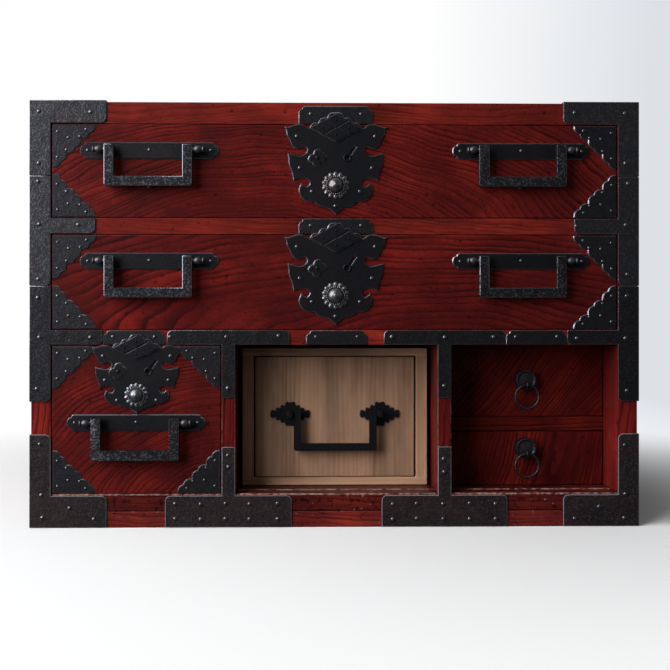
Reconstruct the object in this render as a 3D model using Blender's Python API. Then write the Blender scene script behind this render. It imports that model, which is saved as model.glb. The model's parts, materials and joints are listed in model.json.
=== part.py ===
"""A tansu sea chest: a lacquered zelkova carcase strapped with iron, with three locking drawers on
bail handles, a loose paulownia box with its own drawer, and two small drawers on rings.

Metres, +Z up, the front faces -Y. The origin is the centre of the base board's underside."""

import math

import bmesh
import bpy
from mathutils import Vector

# Carcase boards, named from the bottom up and from the left to the right
DEPTH = 0.424
BASE_BOARD = 0.016
FLOOR_BOARD = 0.0177
LOWER_BAY_HEIGHT = 0.1483
LOWER_SHELF = 0.015
SECOND_BAY_HEIGHT = 0.0955
UPPER_SHELF = 0.016
TOP_BAY_HEIGHT = 0.094
TOP_BOARD = 0.0215
SIDE_BOARD = 0.020
SMALL_BAY_WIDTH = 0.169
CENTRE_BAY_WIDTH = 0.202
RIGHT_BAY_WIDTH = 0.167
PARTITION = 0.014
BACK_BOARD = 0.010
LOWER_RING_BAY_HEIGHT = 0.0569
RING_SHELF = 0.015
HOUSING = 0.005
SIDE_FINGERS = 4
DOOR_GROOVE_SETBACK = 0.021
DOOR_GROOVE_WIDTH = 0.005
DOOR_GROOVE_DEPTH = 0.003

# Clearances: FIT between pieces that are seated on each other, RUN round pieces that slide
FIT = 0.0003
RUN = 0.0006
CUT_PAST = 0.01

# Iron strapping
IRON = 0.0012
IRON_MARGIN = 0.0003
IRON_ROUND = 0.005
IRON_WRAP = 0.045
TOP_CORNER_ARM = 0.075
TOP_CORNER_DROP = 0.0735
UPPER_IRON_DROP = 0.183
UPPER_IRON_ARM = 0.064
LOWER_IRON_DROP = 0.2985
LOWER_IRON_ARM = 0.071
SIDE_EDGE_SHOWN = 0.0325
BOTTOM_CORNER_ARM = 0.075
HEAD_IRON_LENGTH = 0.122
HEAD_IRON_DROP = 0.053
BASE_IRON_LENGTH = 0.126
BASE_IRON_RISE = 0.0466
FLOOR_EDGE_SHOWN = 0.0018

# Drawers
DRAWER_FRONT = 0.020
DRAWER_BEHIND = 0.019
TRAY_WALL = 0.009
TRAY_BOTTOM = 0.007
TRAY_BELOW_FRONT = 0.006
RING_RECESS = 0.047
RING_FRONT = 0.014
RING_DRAWER_BEHIND = 0.017

# Paulownia box
KIRI_RECESS = 0.050
KIRI_BESIDE = 0.004
KIRI_ABOVE = 0.0045
KIRI_BEHIND = 0.019
KIRI_STILE = 0.012
KIRI_TOP = 0.0082
KIRI_BOTTOM = 0.0082
KIRI_BACK = 0.008
KIRI_FRONT = 0.014
KIRI_DRAWER_BEHIND = 0.012

# Locks
LOCK_PLATE = 0.0016
LOCK_WIDTH = 0.104
LOCK_ABOVE_RAIL = 0.0033
DIAMOND_WIDTH = 0.0525
DIAMOND_HEIGHT = 0.0288
DIAMOND_DROP = 0.0041
SMALL_LOCK_WIDTH = 0.0905
SMALL_LOCK_HEIGHT = 0.0685
SMALL_DIAMOND_WIDTH = 0.0488
SMALL_DIAMOND_HEIGHT = 0.0250
SMALL_DIAMOND_DROP = 0.0028
SMALL_LOCK_OFFSET = 0.0005
DIAMOND = 0.0016
STRIKE_ROOM = 0.0016
BOSS_RADIUS = 0.0140
SMALL_BOSS_RADIUS = 0.0125
BOSS_OUT = 0.0085
BOSS_DROP = 0.0615
SMALL_BOSS_DROP = 0.0500
KEYHOLE_RADIUS = 0.0022
KEYHOLE_OFFSET = 0.0115
KEYHOLE_DROP = 0.0339
SMALL_KEYHOLE_DROP = 0.0262
KEYHOLE_SLIT = 0.0017
KEYHOLE_SLIT_LENGTH = 0.013
KEYHOLE_LEAN = math.radians(35)
BOLT_WIDTH = 0.020
BOLT_THICKNESS = 0.0045
BOLT_HEIGHT = 0.032
BOLT_THROW = 0.008

# Bail handles of the drawers, and the lighter one of the paulownia box
HANDLE_OFFSET = 0.1855
HANDLE_DROP = 0.027
SMALL_HANDLE_BELOW_LOCK = 0.0005
BACK_PLATE = 0.0015
BACK_PLATE_LENGTH = 0.138
BACK_PLATE_HEIGHT = 0.0165
BACK_PLATE_ROUND = 0.005
POST_SPACING = 0.096
POST_RADIUS = 0.004
POST_LENGTH = 0.0135
PIVOT_OUT = 0.0085
PIN_RADIUS = 0.0021
PIN_CLEARANCE = 0.0004
PIN_SHORT = 0.0005
BAIL_BAR = 0.0097
BAIL_THICKNESS = 0.007
BAIL_DROP = 0.0365
BAIL_ROUND = 0.0025
KIRI_POST_SPACING = 0.0937
KIRI_POST_RADIUS = 0.0032
KIRI_PIN_RADIUS = 0.0015
KIRI_BAIL_BAR = 0.0075
KIRI_BAIL_THICKNESS = 0.0055
KIRI_BAIL_DROP = 0.0375
KIRI_HANDLE_DROP = 0.0607
ROSE_WIDTH = 0.042
ROSE_HEIGHT = 0.025

# Ring pulls
KNOB_RADIUS = 0.0095
KNOB_OUT = 0.0115
UPPER_KNOB_DROP = 0.0376
LOWER_KNOB_DROP = 0.0172
EYE_BELOW_KNOB = 0.005
EYE_OUT = 0.0145
EYE_WIDTH = 0.005
EYE_RADIUS = 0.0037
EYE_HOLE_RADIUS = 0.0023
RING_RADIUS = 0.0121
RING_WIRE = 0.0014

# How finely round shapes are divided
ROUND_STEPS = 16
CORNER_STEPS = 3
LOBE_STEPS = 4
RING_STEPS = 32
WIRE_STEPS = 8
SHARP_ANGLE = math.radians(40)

# Levels and edges that follow from the boards
WIDTH = 2 * SIDE_BOARD + SMALL_BAY_WIDTH + CENTRE_BAY_WIDTH + RIGHT_BAY_WIDTH + 2 * PARTITION
LEFT = -WIDTH / 2
RIGHT = WIDTH / 2
FRONT = -DEPTH / 2
BACK = DEPTH / 2
INNER_BACK = BACK - BACK_BOARD
BOARD_BACK = INNER_BACK - FIT
FLOOR_Z = BASE_BOARD + FLOOR_BOARD
LOWER_SHELF_Z = FLOOR_Z + LOWER_BAY_HEIGHT
SECOND_BAY_Z = LOWER_SHELF_Z + LOWER_SHELF
UPPER_SHELF_Z = SECOND_BAY_Z + SECOND_BAY_HEIGHT
TOP_BAY_Z = UPPER_SHELF_Z + UPPER_SHELF
TOP_BOARD_Z = TOP_BAY_Z + TOP_BAY_HEIGHT
HEIGHT = TOP_BOARD_Z + TOP_BOARD
RING_SHELF_Z = FLOOR_Z + LOWER_RING_BAY_HEIGHT
UPPER_RING_BAY_Z = RING_SHELF_Z + RING_SHELF
LONG_BAY = (LEFT + SIDE_BOARD, RIGHT - SIDE_BOARD)
SMALL_BAY = (LONG_BAY[0], LONG_BAY[0] + SMALL_BAY_WIDTH)
CENTRE_BAY = (SMALL_BAY[1] + PARTITION, SMALL_BAY[1] + PARTITION + CENTRE_BAY_WIDTH)
RIGHT_BAY = (CENTRE_BAY[1] + PARTITION, LONG_BAY[1])
LEFT_PARTITION = (SMALL_BAY[1], CENTRE_BAY[0])
RIGHT_PARTITION = (CENTRE_BAY[1], RIGHT_BAY[0])
IRON_BACK = FRONT - FIT
IRON_FRONT = IRON_BACK - IRON
BOLT_FRONT = FRONT + FIT
BOTTOM_CORNER_RISE = HEIGHT - LOWER_IRON_DROP - SIDE_EDGE_SHOWN
SMALL_HANDLE_DROP = SMALL_LOCK_HEIGHT + SMALL_HANDLE_BELOW_LOCK + BACK_PLATE_HEIGHT / 2

# Sizes of the drawers, their locks and the paulownia box, from the bays that take them
DRAWER_LENGTH = DEPTH - BACK_BOARD - DRAWER_BEHIND
RING_DRAWER_LENGTH = DEPTH - BACK_BOARD - RING_RECESS - RING_DRAWER_BEHIND
KIRI_WIDTH = CENTRE_BAY_WIDTH - 2 * KIRI_BESIDE
KIRI_HEIGHT = LOWER_BAY_HEIGHT - FIT - KIRI_ABOVE
KIRI_LENGTH = DEPTH - BACK_BOARD - KIRI_RECESS - KIRI_BEHIND
KIRI_DRAWER_LENGTH = KIRI_LENGTH - KIRI_BACK - KIRI_DRAWER_BEHIND
LOCK_HEIGHT = TOP_BAY_HEIGHT - LOCK_ABOVE_RAIL

# Half of a lock plate's cloud outline from the middle of its top edge round to its lower tip:
# shares of half its width, and of its height down from the drawer's top edge
CLOUD_OUTLINE = (
    (0.52, 0.058),
    (0.76, 0.017),
    (1.00, 0.035),
    (0.93, 0.144),
    (0.85, 0.255),
    (0.56, 0.291),
    (0.66, 0.364),
    (0.925, 0.332),
    (0.89, 0.502),
    (0.79, 0.634),
    (0.587, 0.615),
    (0.508, 0.657),
    (0.587, 0.689),
    (0.706, 0.702),
    (0.713, 0.757),
    (0.62, 0.835),
    (0.427, 0.853),
    (0.267, 0.913),
    (0.14, 0.93),
)

places = {}


def material(name, colour, roughness, metallic=0.0):
    finish = bpy.data.materials.new(name)
    finish.use_nodes = True
    finish.diffuse_color = (*colour, 1.0)
    surface = finish.node_tree.nodes["Principled BSDF"]
    surface.inputs["Base Color"].default_value = (*colour, 1.0)
    surface.inputs["Roughness"].default_value = roughness
    surface.inputs["Metallic"].default_value = metallic
    return finish


def box(x, y, z):
    """A box between two limits on each axis."""
    shape = bmesh.new()
    bmesh.ops.create_cube(shape, size=1.0)
    for vert in shape.verts:
        vert.co = Vector(limits[0] if at < 0 else limits[1] for limits, at in zip((x, y, z), vert.co))
    return shape


def on_plane(plane, u, v, w):
    """A point of an outline drawn from the front (x, z), from above (x, y) or from the side (y, z)."""
    if plane == "front":
        return Vector((u, w, v))
    if plane == "plan":
        return Vector((u, v, w))
    return Vector((w, u, v))


def prism(outline, plane, start, end):
    """An outline carried from start to end along the axis square to its plane."""
    shape = bmesh.new()
    face = shape.faces.new([shape.verts.new(on_plane(plane, u, v, start)) for u, v in outline])
    grown = bmesh.ops.extrude_face_region(shape, geom=[face])["geom"]
    moved = [item for item in grown if isinstance(item, bmesh.types.BMVert)]
    bmesh.ops.translate(shape, verts=moved, vec=on_plane(plane, 0, 0, end - start))
    bmesh.ops.recalc_face_normals(shape, faces=shape.faces)
    return shape


def turned(profile, centre):
    """A profile of (radius, distance towards the front) spun round a front-to-back axis."""
    shape = bmesh.new()
    verts = [shape.verts.new((radius, -out, 0)) for radius, out in profile]
    edges = [shape.edges.new(pair) for pair in zip(verts, verts[1:])]
    bmesh.ops.spin(
        shape,
        geom=verts + edges,
        cent=(0, 0, 0),
        axis=(0, 1, 0),
        angle=2 * math.pi,
        steps=ROUND_STEPS,
        use_merge=True,
    )
    bmesh.ops.remove_doubles(shape, verts=shape.verts, dist=1e-6)
    bmesh.ops.recalc_face_normals(shape, faces=shape.faces)
    bmesh.ops.translate(shape, verts=shape.verts, vec=Vector(centre))
    return shape


def circle(u, v, radius):
    turns = [2 * math.pi * step / ROUND_STEPS for step in range(ROUND_STEPS)]
    return [(u + radius * math.cos(turn), v + radius * math.sin(turn)) for turn in turns]


def rod(x, y, z, radius):
    """A round bar along X between two limits."""
    return prism(circle(y, z, radius), "side", *x)


def rounded(corners):
    """An outline of (u, v, radius) corners, with each radius above 0 made an arc."""
    outline = []
    for index, (u, v, radius) in enumerate(corners):
        corner = Vector((u, v))
        if radius == 0:
            outline.append((u, v))
            continue
        before = (Vector(corners[index - 1][:2]) - corner).normalized()
        after = (Vector(corners[(index + 1) % len(corners)][:2]) - corner).normalized()
        half = before.angle(after) / 2
        centre = corner + (before + after).normalized() * radius / math.sin(half)
        first = corner + before * radius / math.tan(half) - centre
        last = corner + after * radius / math.tan(half) - centre
        for step in range(CORNER_STEPS + 1):
            along = first.slerp(last, step / CORNER_STEPS)
            outline.append(tuple(centre + along.normalized() * radius))
    return outline


def scalloped_diamond(u, v, width, height, lobes):
    """A diamond whose four edges are rows of small outward lobes."""
    tips = [(u + width / 2, v), (u, v + height / 2), (u - width / 2, v), (u, v - height / 2)]
    outline = []
    for tip, following in zip(tips, tips[1:] + tips[:1]):
        start = Vector(tip)
        edge = Vector(following) - start
        outward = Vector((edge.y, -edge.x)).normalized()
        lobe = edge.length / lobes
        for step in range(lobes * LOBE_STEPS):
            share = step / (lobes * LOBE_STEPS)
            bulge = abs(math.sin(math.pi * share * lobes)) * lobe / 4
            outline.append(tuple(start + edge * share + outward * bulge))
    return outline


def mirrored(outline, side):
    return [(side * u, v) for u, v in outline]


def frame(name, place, parent=None):
    """An empty that carries a rigid group, on the axis of the joint that moves it."""
    carrier = bpy.data.objects.new(name + "_frame", None)
    carrier.empty_display_size = 0.02
    places[carrier.name] = Vector(place)
    carrier.parent = parent
    carrier.location = Vector(place) - (places[parent.name] if parent else Vector())
    bpy.context.collection.objects.link(carrier)
    return carrier


def solid(name, shape, finish, carrier):
    """A named solid from a shape drawn in the chest's own frame."""
    bmesh.ops.translate(shape, verts=shape.verts, vec=-places[carrier.name])
    mesh = bpy.data.meshes.new(name)
    shape.to_mesh(mesh)
    shape.free()
    mesh.shade_smooth()
    mesh.set_sharp_from_angle(angle=SHARP_ANGLE)
    if finish:
        mesh.materials.append(finish)
    piece = bpy.data.objects.new(name, mesh)
    piece.parent = carrier
    bpy.context.collection.objects.link(piece)
    return piece


def combine(piece, shape, operation):
    helper = solid(f"{piece.name}_{operation.lower()}", shape, None, piece.parent)
    helper.hide_render = True
    helper.display_type = "WIRE"
    step = piece.modifiers.new(operation.title(), "BOOLEAN")
    step.operation = operation
    step.object = helper


def cut(piece, shape):
    combine(piece, shape, "DIFFERENCE")


def join(piece, shape):
    combine(piece, shape, "UNION")


def side_fingers():
    """The front-to-back limits of the fingers that each side board sends up through the top board."""
    pitch = (BOARD_BACK - FRONT) / (2 * SIDE_FINGERS + 1)
    return [(FRONT + (2 * n + 1) * pitch, FRONT + (2 * n + 2) * pitch) for n in range(SIDE_FINGERS)]


def top_board_outline():
    reach = RIGHT - SIDE_BOARD - FIT
    edge = [(RIGHT, FRONT)]
    for near, far in side_fingers():
        edge += [(RIGHT, near), (reach, near), (reach, far), (RIGHT, far)]
    edge.append((RIGHT, BACK))
    return edge + mirrored(edge[::-1], -1)


def side_board_outline():
    shoulder = TOP_BOARD_Z - FIT
    foot = BASE_BOARD + FIT
    outline = [(FRONT, shoulder), (FRONT, foot), (BOARD_BACK, foot), (BOARD_BACK, shoulder)]
    for near, far in reversed(side_fingers()):
        outline += [(far - FIT, shoulder), (far - FIT, HEIGHT), (near + FIT, HEIGHT), (near + FIT, shoulder)]
    return outline


def housing(x, y, z):
    """The groove that takes a board's edge: the edge's limits, each eased by FIT."""
    return box(*[(low - FIT, high + FIT) for low, high in (x, y, z)])


def build_carcase(carrier, lacquer, plain_wood):
    depth = (FRONT, BOARD_BACK)
    past = (FRONT - CUT_PAST, BACK)
    shelf_x = (LONG_BAY[0] - HOUSING + FIT, LONG_BAY[1] + HOUSING - FIT)
    shelves = {
        "floor_board": (BASE_BOARD + FIT, FLOOR_Z),
        "lower_shelf": (LOWER_SHELF_Z, SECOND_BAY_Z),
        "upper_shelf": (UPPER_SHELF_Z, TOP_BAY_Z),
    }
    ring_shelf_x = (RIGHT_BAY[0] - HOUSING + FIT, RIGHT_BAY[1] + HOUSING - FIT)
    ring_shelf_y = (FRONT + RING_RECESS, BOARD_BACK)
    ring_shelf_z = (RING_SHELF_Z, UPPER_RING_BAY_Z)
    partition_z = (FLOOR_Z - HOUSING + FIT, LOWER_SHELF_Z + HOUSING - FIT)

    boards = {}
    boards["base_board"] = solid("base_board", box((LEFT, RIGHT), (FRONT, BACK), (0, BASE_BOARD)), lacquer, carrier)
    top = prism(top_board_outline(), "plan", TOP_BOARD_Z, HEIGHT)
    boards["top_board"] = solid("top_board", top, lacquer, carrier)
    for name, z in shelves.items():
        boards[name] = solid(name, box(shelf_x, depth, z), lacquer, carrier)
    for name, x in (("left_side_board", (LEFT, LONG_BAY[0])), ("right_side_board", (LONG_BAY[1], RIGHT))):
        boards[name] = solid(name, prism(side_board_outline(), "side", *x), lacquer, carrier)
        for z in shelves.values():
            cut(boards[name], housing(shelf_x, past, z))
    for name, x in (("left_partition", LEFT_PARTITION), ("right_partition", RIGHT_PARTITION)):
        boards[name] = solid(name, box(x, depth, partition_z), lacquer, carrier)
        cut(boards["floor_board"], housing(x, past, partition_z))
        cut(boards["lower_shelf"], housing(x, past, partition_z))
    solid("ring_drawer_shelf", box(ring_shelf_x, ring_shelf_y, ring_shelf_z), lacquer, carrier)
    for name in ("right_partition", "right_side_board"):
        cut(boards[name], housing(ring_shelf_x, (ring_shelf_y[0], BACK), ring_shelf_z))

    # The two open bays have a groove in their floor for a drop-in door.
    groove_y = (FRONT + DOOR_GROOVE_SETBACK, FRONT + DOOR_GROOVE_SETBACK + DOOR_GROOVE_WIDTH)
    for bay in (CENTRE_BAY, RIGHT_BAY):
        groove_x = (bay[0] + FIT, bay[1] - FIT)
        cut(boards["floor_board"], box(groove_x, groove_y, (FLOOR_Z - DOOR_GROOVE_DEPTH, FLOOR_Z + CUT_PAST)))

    back_z = (BASE_BOARD + FIT, TOP_BOARD_Z - FIT)
    solid("back_board", box((LEFT, RIGHT), (INNER_BACK, BACK), back_z), plain_wood, carrier)
    return boards


def iron_fitting(name, outline, side, wraps, finish, carrier):
    """A strap on the chest's front, drawn for the right-hand side, with the plates that wrap round its edges."""
    piece = solid(name, prism(mirrored(outline, side), "front", IRON_FRONT, IRON_BACK), finish, carrier)
    for x, z in wraps:
        join(piece, box(sorted(side * edge for edge in x), (IRON_FRONT, FRONT + IRON_WRAP), z))


def side_iron(name, side, top, bottom, shelf, arm, finish, carrier):
    """A strap down a side board's edge with an arm along a shelf's edge."""
    outer = RIGHT + FIT + IRON
    inner = RIGHT - SIDE_BOARD + IRON_MARGIN
    low, high = shelf[0] + IRON_MARGIN, shelf[1] - IRON_MARGIN
    outline = rounded([
        (outer, top, 0),
        (inner, top, 0),
        (inner, high, 0),
        (RIGHT - arm, high, 0),
        (RIGHT - arm, low, IRON_ROUND),
        (inner, low, 0),
        (inner, bottom, IRON_ROUND),
        (outer, bottom, 0),
    ])
    iron_fitting(name, outline, side, [((RIGHT + FIT, outer), (bottom, top))], finish, carrier)


def build_ironwork(carrier, iron):
    outer = RIGHT + FIT + IRON
    inner = RIGHT - SIDE_BOARD + IRON_MARGIN
    crown = HEIGHT + FIT + IRON
    corner_foot = HEIGHT - TOP_CORNER_DROP
    upper_foot = HEIGHT - UPPER_IRON_DROP
    lower_foot = HEIGHT - LOWER_IRON_DROP
    floor_edge = FLOOR_Z - FLOOR_EDGE_SHOWN
    top_edge = TOP_BOARD_Z + IRON_MARGIN
    top_corner = rounded([
        (outer, crown, 0),
        (RIGHT - TOP_CORNER_ARM, crown, 0),
        (RIGHT - TOP_CORNER_ARM, top_edge, IRON_ROUND),
        (inner, top_edge, 0),
        (inner, corner_foot, 0),
        (outer, corner_foot, 0),
    ])
    bottom_corner = rounded([
        (outer, FIT, 0),
        (RIGHT - BOTTOM_CORNER_ARM, FIT, 0),
        (RIGHT - BOTTOM_CORNER_ARM, floor_edge, IRON_ROUND),
        (inner, floor_edge, 0),
        (inner, BOTTOM_CORNER_RISE, IRON_ROUND),
        (outer, BOTTOM_CORNER_RISE, 0),
    ])
    side_wrap = (RIGHT + FIT, outer)
    top_wraps = [
        (side_wrap, (corner_foot, crown)),
        ((RIGHT - TOP_CORNER_ARM, outer), (HEIGHT + FIT, crown)),
    ]
    bottom_wraps = [(side_wrap, (FIT, BOTTOM_CORNER_RISE))]
    upper_rail = (UPPER_SHELF_Z, TOP_BAY_Z)
    lower_rail = (LOWER_SHELF_Z, SECOND_BAY_Z)
    for hand, side in (("left", -1), ("right", 1)):
        iron_fitting(f"top_{hand}_corner_iron", top_corner, side, top_wraps, iron, carrier)
        iron_fitting(f"bottom_{hand}_corner_iron", bottom_corner, side, bottom_wraps, iron, carrier)
        side_iron(
            f"{hand}_upper_iron", side, corner_foot - FIT, upper_foot, upper_rail, UPPER_IRON_ARM, iron, carrier
        )
        side_iron(
            f"{hand}_lower_iron", side, upper_foot - FIT, lower_foot, lower_rail, LOWER_IRON_ARM, iron, carrier
        )

    # Tees join the partitions to the lower shelf above them and to the base below them.
    rail_low, rail_high = LOWER_SHELF_Z + IRON_MARGIN, SECOND_BAY_Z - IRON_MARGIN
    for hand, partition in (("left", LEFT_PARTITION), ("right", RIGHT_PARTITION)):
        middle = sum(partition) / 2
        near, far = partition[0] + IRON_MARGIN, partition[1] - IRON_MARGIN
        head = HEAD_IRON_LENGTH / 2
        base = BASE_IRON_LENGTH / 2
        head_tee = rounded([
            (middle - head, rail_high, IRON_ROUND),
            (middle - head, rail_low, 0),
            (near, rail_low, 0),
            (near, LOWER_SHELF_Z - HEAD_IRON_DROP, 0),
            (far, LOWER_SHELF_Z - HEAD_IRON_DROP, 0),
            (far, rail_low, 0),
            (middle + head, rail_low, 0),
            (middle + head, rail_high, IRON_ROUND),
        ])
        base_tee = rounded([
            (middle - base, FIT, 0),
            (middle - base, floor_edge, IRON_ROUND),
            (near, floor_edge, 0),
            (near, FLOOR_Z + BASE_IRON_RISE, 0),
            (far, FLOOR_Z + BASE_IRON_RISE, 0),
            (far, floor_edge, 0),
            (middle + base, floor_edge, IRON_ROUND),
            (middle + base, FIT, 0),
        ])
        iron_fitting(f"{hand}_partition_head_iron", head_tee, 1, [], iron, carrier)
        iron_fitting(f"{hand}_partition_base_iron", base_tee, 1, [], iron, carrier)


def build_drawer(name, bay_x, bay_z, face, front_board, length, woods, carrier):
    """A drawer that fills a bay: its front board, and the tray of sides, back and bottom behind it."""
    front_wood, tray_wood = woods
    x = (bay_x[0] + RUN, bay_x[1] - RUN)
    floor = bay_z[0] + FIT
    front = box(x, (face, face + front_board), (floor, bay_z[1] - RUN))
    front_piece = solid(f"{name}_front", front, front_wood, carrier)
    tray_y = (face + front_board + FIT, face + length)
    tray_top = bay_z[1] - RUN - TRAY_BELOW_FRONT
    tray_piece = solid(f"{name}_tray", box(x, tray_y, (floor, tray_top)), tray_wood, carrier)
    inside_x = (x[0] + TRAY_WALL, x[1] - TRAY_WALL)
    inside_y = (tray_y[0] - CUT_PAST, tray_y[1] - TRAY_WALL)
    cut(tray_piece, box(inside_x, inside_y, (floor + TRAY_BOTTOM, tray_top + CUT_PAST)))
    return front_piece


def lock_outline(x, top, width, height):
    half = [(share_x * width / 2, top - share_z * height) for share_x, share_z in CLOUD_OUTLINE]
    tip = [(0, top - height)]
    return [(x + u, z) for u, z in half + tip + mirrored(half[::-1], -1)]


def build_lock(name, x, top, plate_size, diamond_place, boss_place, key_drop, front, rail, carrier, iron):
    """A lock on a drawer: its cloud-shaped plate, and the bolt that rises from the front into the rail above."""
    width, height = plate_size
    diamond_width, diamond_height, diamond_drop = diamond_place
    boss_radius, boss_drop = boss_place
    plate_front = IRON_BACK - LOCK_PLATE
    plate = prism(lock_outline(x, top, width, height), "front", plate_front, IRON_BACK)
    piece = solid(f"{name}_lock_plate", plate, iron, carrier)
    diamond = scalloped_diamond(x, top - diamond_drop, diamond_width, diamond_height, lobes=3)
    diamond_back = FRONT - STRIKE_ROOM
    join(piece, prism(diamond, "front", diamond_back - DIAMOND, diamond_back))
    boss = [
        (0, 0),
        (boss_radius, 0),
        (boss_radius, BOSS_OUT * 0.35),
        (boss_radius * 0.55, BOSS_OUT * 0.55),
        (boss_radius * 0.48, BOSS_OUT * 0.75),
        (boss_radius * 0.28, BOSS_OUT * 0.95),
        (0, BOSS_OUT),
    ]
    seat = IRON_BACK - LOCK_PLATE / 2
    join(piece, turned(boss, (x, seat, top - boss_drop)))

    key_x = x + KEYHOLE_OFFSET
    key_z = top - key_drop
    through = (plate_front - CUT_PAST, FRONT)
    cut(piece, prism(circle(key_x, key_z, KEYHOLE_RADIUS), "front", *through))
    along = Vector((math.sin(KEYHOLE_LEAN), math.cos(KEYHOLE_LEAN)))
    across = Vector((along.y, -along.x)) * KEYHOLE_SLIT / 2
    foot = Vector((key_x, key_z))
    head = foot + along * KEYHOLE_SLIT_LENGTH
    slit = [tuple(corner) for corner in (foot - across, foot + across, head + across, head - across)]
    cut(piece, prism(slit, "front", *through))

    bolt_x = (x - BOLT_WIDTH / 2, x + BOLT_WIDTH / 2)
    bolt_y = (BOLT_FRONT, BOLT_FRONT + BOLT_THICKNESS)
    bolt_top = top - RUN - FIT
    bolt_z = (bolt_top - BOLT_HEIGHT, bolt_top)
    bolt_carrier = frame(f"{name}_lock_bolt", (x, sum(bolt_y) / 2, bolt_z[0]), carrier)
    solid(f"{name}_lock_bolt", box(bolt_x, bolt_y, bolt_z), iron, bolt_carrier)
    pocket_x = (bolt_x[0] - FIT, bolt_x[1] + FIT)
    cut(front, box(pocket_x, (FRONT - CUT_PAST, bolt_y[1] + FIT), (bolt_z[0] - FIT, top + CUT_PAST)))
    mortise_y = (bolt_y[0] - FIT / 2, bolt_y[1] + RUN)
    mortise_x = (bolt_x[0] - RUN, bolt_x[1] + RUN)
    cut(rail, box(mortise_x, mortise_y, (top - RUN, bolt_top + BOLT_THROW + RUN)))


def post_shape(x, z, face, radius):
    """A handle post with a domed head, from its plate out towards the front."""
    profile = [
        (0, 0),
        (radius, 0),
        (radius, POST_LENGTH * 0.8),
        (radius * 0.75, POST_LENGTH * 0.95),
        (0, POST_LENGTH),
    ]
    return turned(profile, (x, face - FIT - BACK_PLATE / 2, z))


def bail_shape(x, z, y, width, bar, thickness, drop):
    """A square-section bail hanging from the height z of its pivot."""
    outer, inner = width / 2, width / 2 - bar
    top, bottom = z + bar / 2, z - drop
    outline = rounded([
        (x - outer, top, 0),
        (x - outer, bottom, BAIL_ROUND),
        (x + outer, bottom, BAIL_ROUND),
        (x + outer, top, 0),
        (x + inner, top, 0),
        (x + inner, bottom + bar, 0),
        (x - inner, bottom + bar, 0),
        (x - inner, top, 0),
    ])
    return prism(outline, "front", y - thickness / 2, y + thickness / 2)


def hang_bail(name, x, z, face, posts, spacing, post_radius, pin_radius, bar, thickness, drop, carrier, iron):
    """A bail on two posts: a hole across each post, and the bail with a pin into each hole."""
    y = face - PIVOT_OUT
    width = spacing - 2 * post_radius - 2 * RUN
    bail = solid(
        name, bail_shape(x, z, y, width, bar, thickness, drop), iron, frame(name, (x, y, z), carrier)
    )
    pin_reach = spacing / 2 + post_radius - PIN_SHORT
    for side, post in zip((-1, 1), posts):
        hole = sorted(x + side * (spacing / 2 + end * (post_radius + RUN / 2)) for end in (-1, 1))
        cut(post, rod(hole, y, z, pin_radius + PIN_CLEARANCE))
        join(bail, rod(sorted((x + side * (width / 2 - bar / 2), x + side * pin_reach)), y, z, pin_radius))


def build_handle(name, x, z, face, carrier, iron):
    """A drawer handle: one back plate with two posts, and the bail between them."""
    half, rise = BACK_PLATE_LENGTH / 2, BACK_PLATE_HEIGHT / 2
    corners = [(-half, -rise), (half, -rise), (half, rise), (-half, rise)]
    outline = rounded([(x + u, z + v, BACK_PLATE_ROUND) for u, v in corners])
    plate = solid(f"{name}_handle_plate", prism(outline, "front", face - FIT - BACK_PLATE, face - FIT), iron, carrier)
    for side in (-1, 1):
        join(plate, post_shape(x + side * POST_SPACING / 2, z, face, POST_RADIUS))
    hang_bail(
        f"{name}_bail",
        x,
        z,
        face,
        (plate, plate),
        POST_SPACING,
        POST_RADIUS,
        PIN_RADIUS,
        BAIL_BAR,
        BAIL_THICKNESS,
        BAIL_DROP,
        carrier,
        iron,
    )


def build_locking_drawers(carcase, boards, lacquer, tray_wood, iron):
    woods = (lacquer, tray_wood)
    rails = {"top": boards["top_board"], "second": boards["upper_shelf"]}
    bays = {"top": (TOP_BAY_Z, TOP_BOARD_Z), "second": (SECOND_BAY_Z, UPPER_SHELF_Z)}
    for name, bay in bays.items():
        carrier = frame(f"{name}_drawer", (0, FRONT, bay[0]), carcase)
        front = build_drawer(f"{name}_drawer", LONG_BAY, bay, FRONT, DRAWER_FRONT, DRAWER_LENGTH, woods, carrier)
        build_lock(
            name,
            0,
            bay[1],
            (LOCK_WIDTH, LOCK_HEIGHT),
            (DIAMOND_WIDTH, DIAMOND_HEIGHT, DIAMOND_DROP),
            (BOSS_RADIUS, BOSS_DROP),
            KEYHOLE_DROP,
            front,
            rails[name],
            carrier,
            iron,
        )
        for hand, side in (("left", -1), ("right", 1)):
            build_handle(f"{name}_{hand}", side * HANDLE_OFFSET, bay[1] - HANDLE_DROP, FRONT, carrier, iron)

    bay = (FLOOR_Z, LOWER_SHELF_Z)
    middle = sum(SMALL_BAY) / 2
    carrier = frame("small_drawer", (middle, FRONT, FLOOR_Z), carcase)
    front = build_drawer("small_drawer", SMALL_BAY, bay, FRONT, DRAWER_FRONT, DRAWER_LENGTH, woods, carrier)
    build_lock(
        "small",
        middle + SMALL_LOCK_OFFSET,
        bay[1],
        (SMALL_LOCK_WIDTH, SMALL_LOCK_HEIGHT),
        (SMALL_DIAMOND_WIDTH, SMALL_DIAMOND_HEIGHT, SMALL_DIAMOND_DROP),
        (SMALL_BOSS_RADIUS, SMALL_BOSS_DROP),
        SMALL_KEYHOLE_DROP,
        front,
        boards["lower_shelf"],
        carrier,
        iron,
    )
    build_handle("small", middle, bay[1] - SMALL_HANDLE_DROP, FRONT, carrier, iron)


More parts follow.
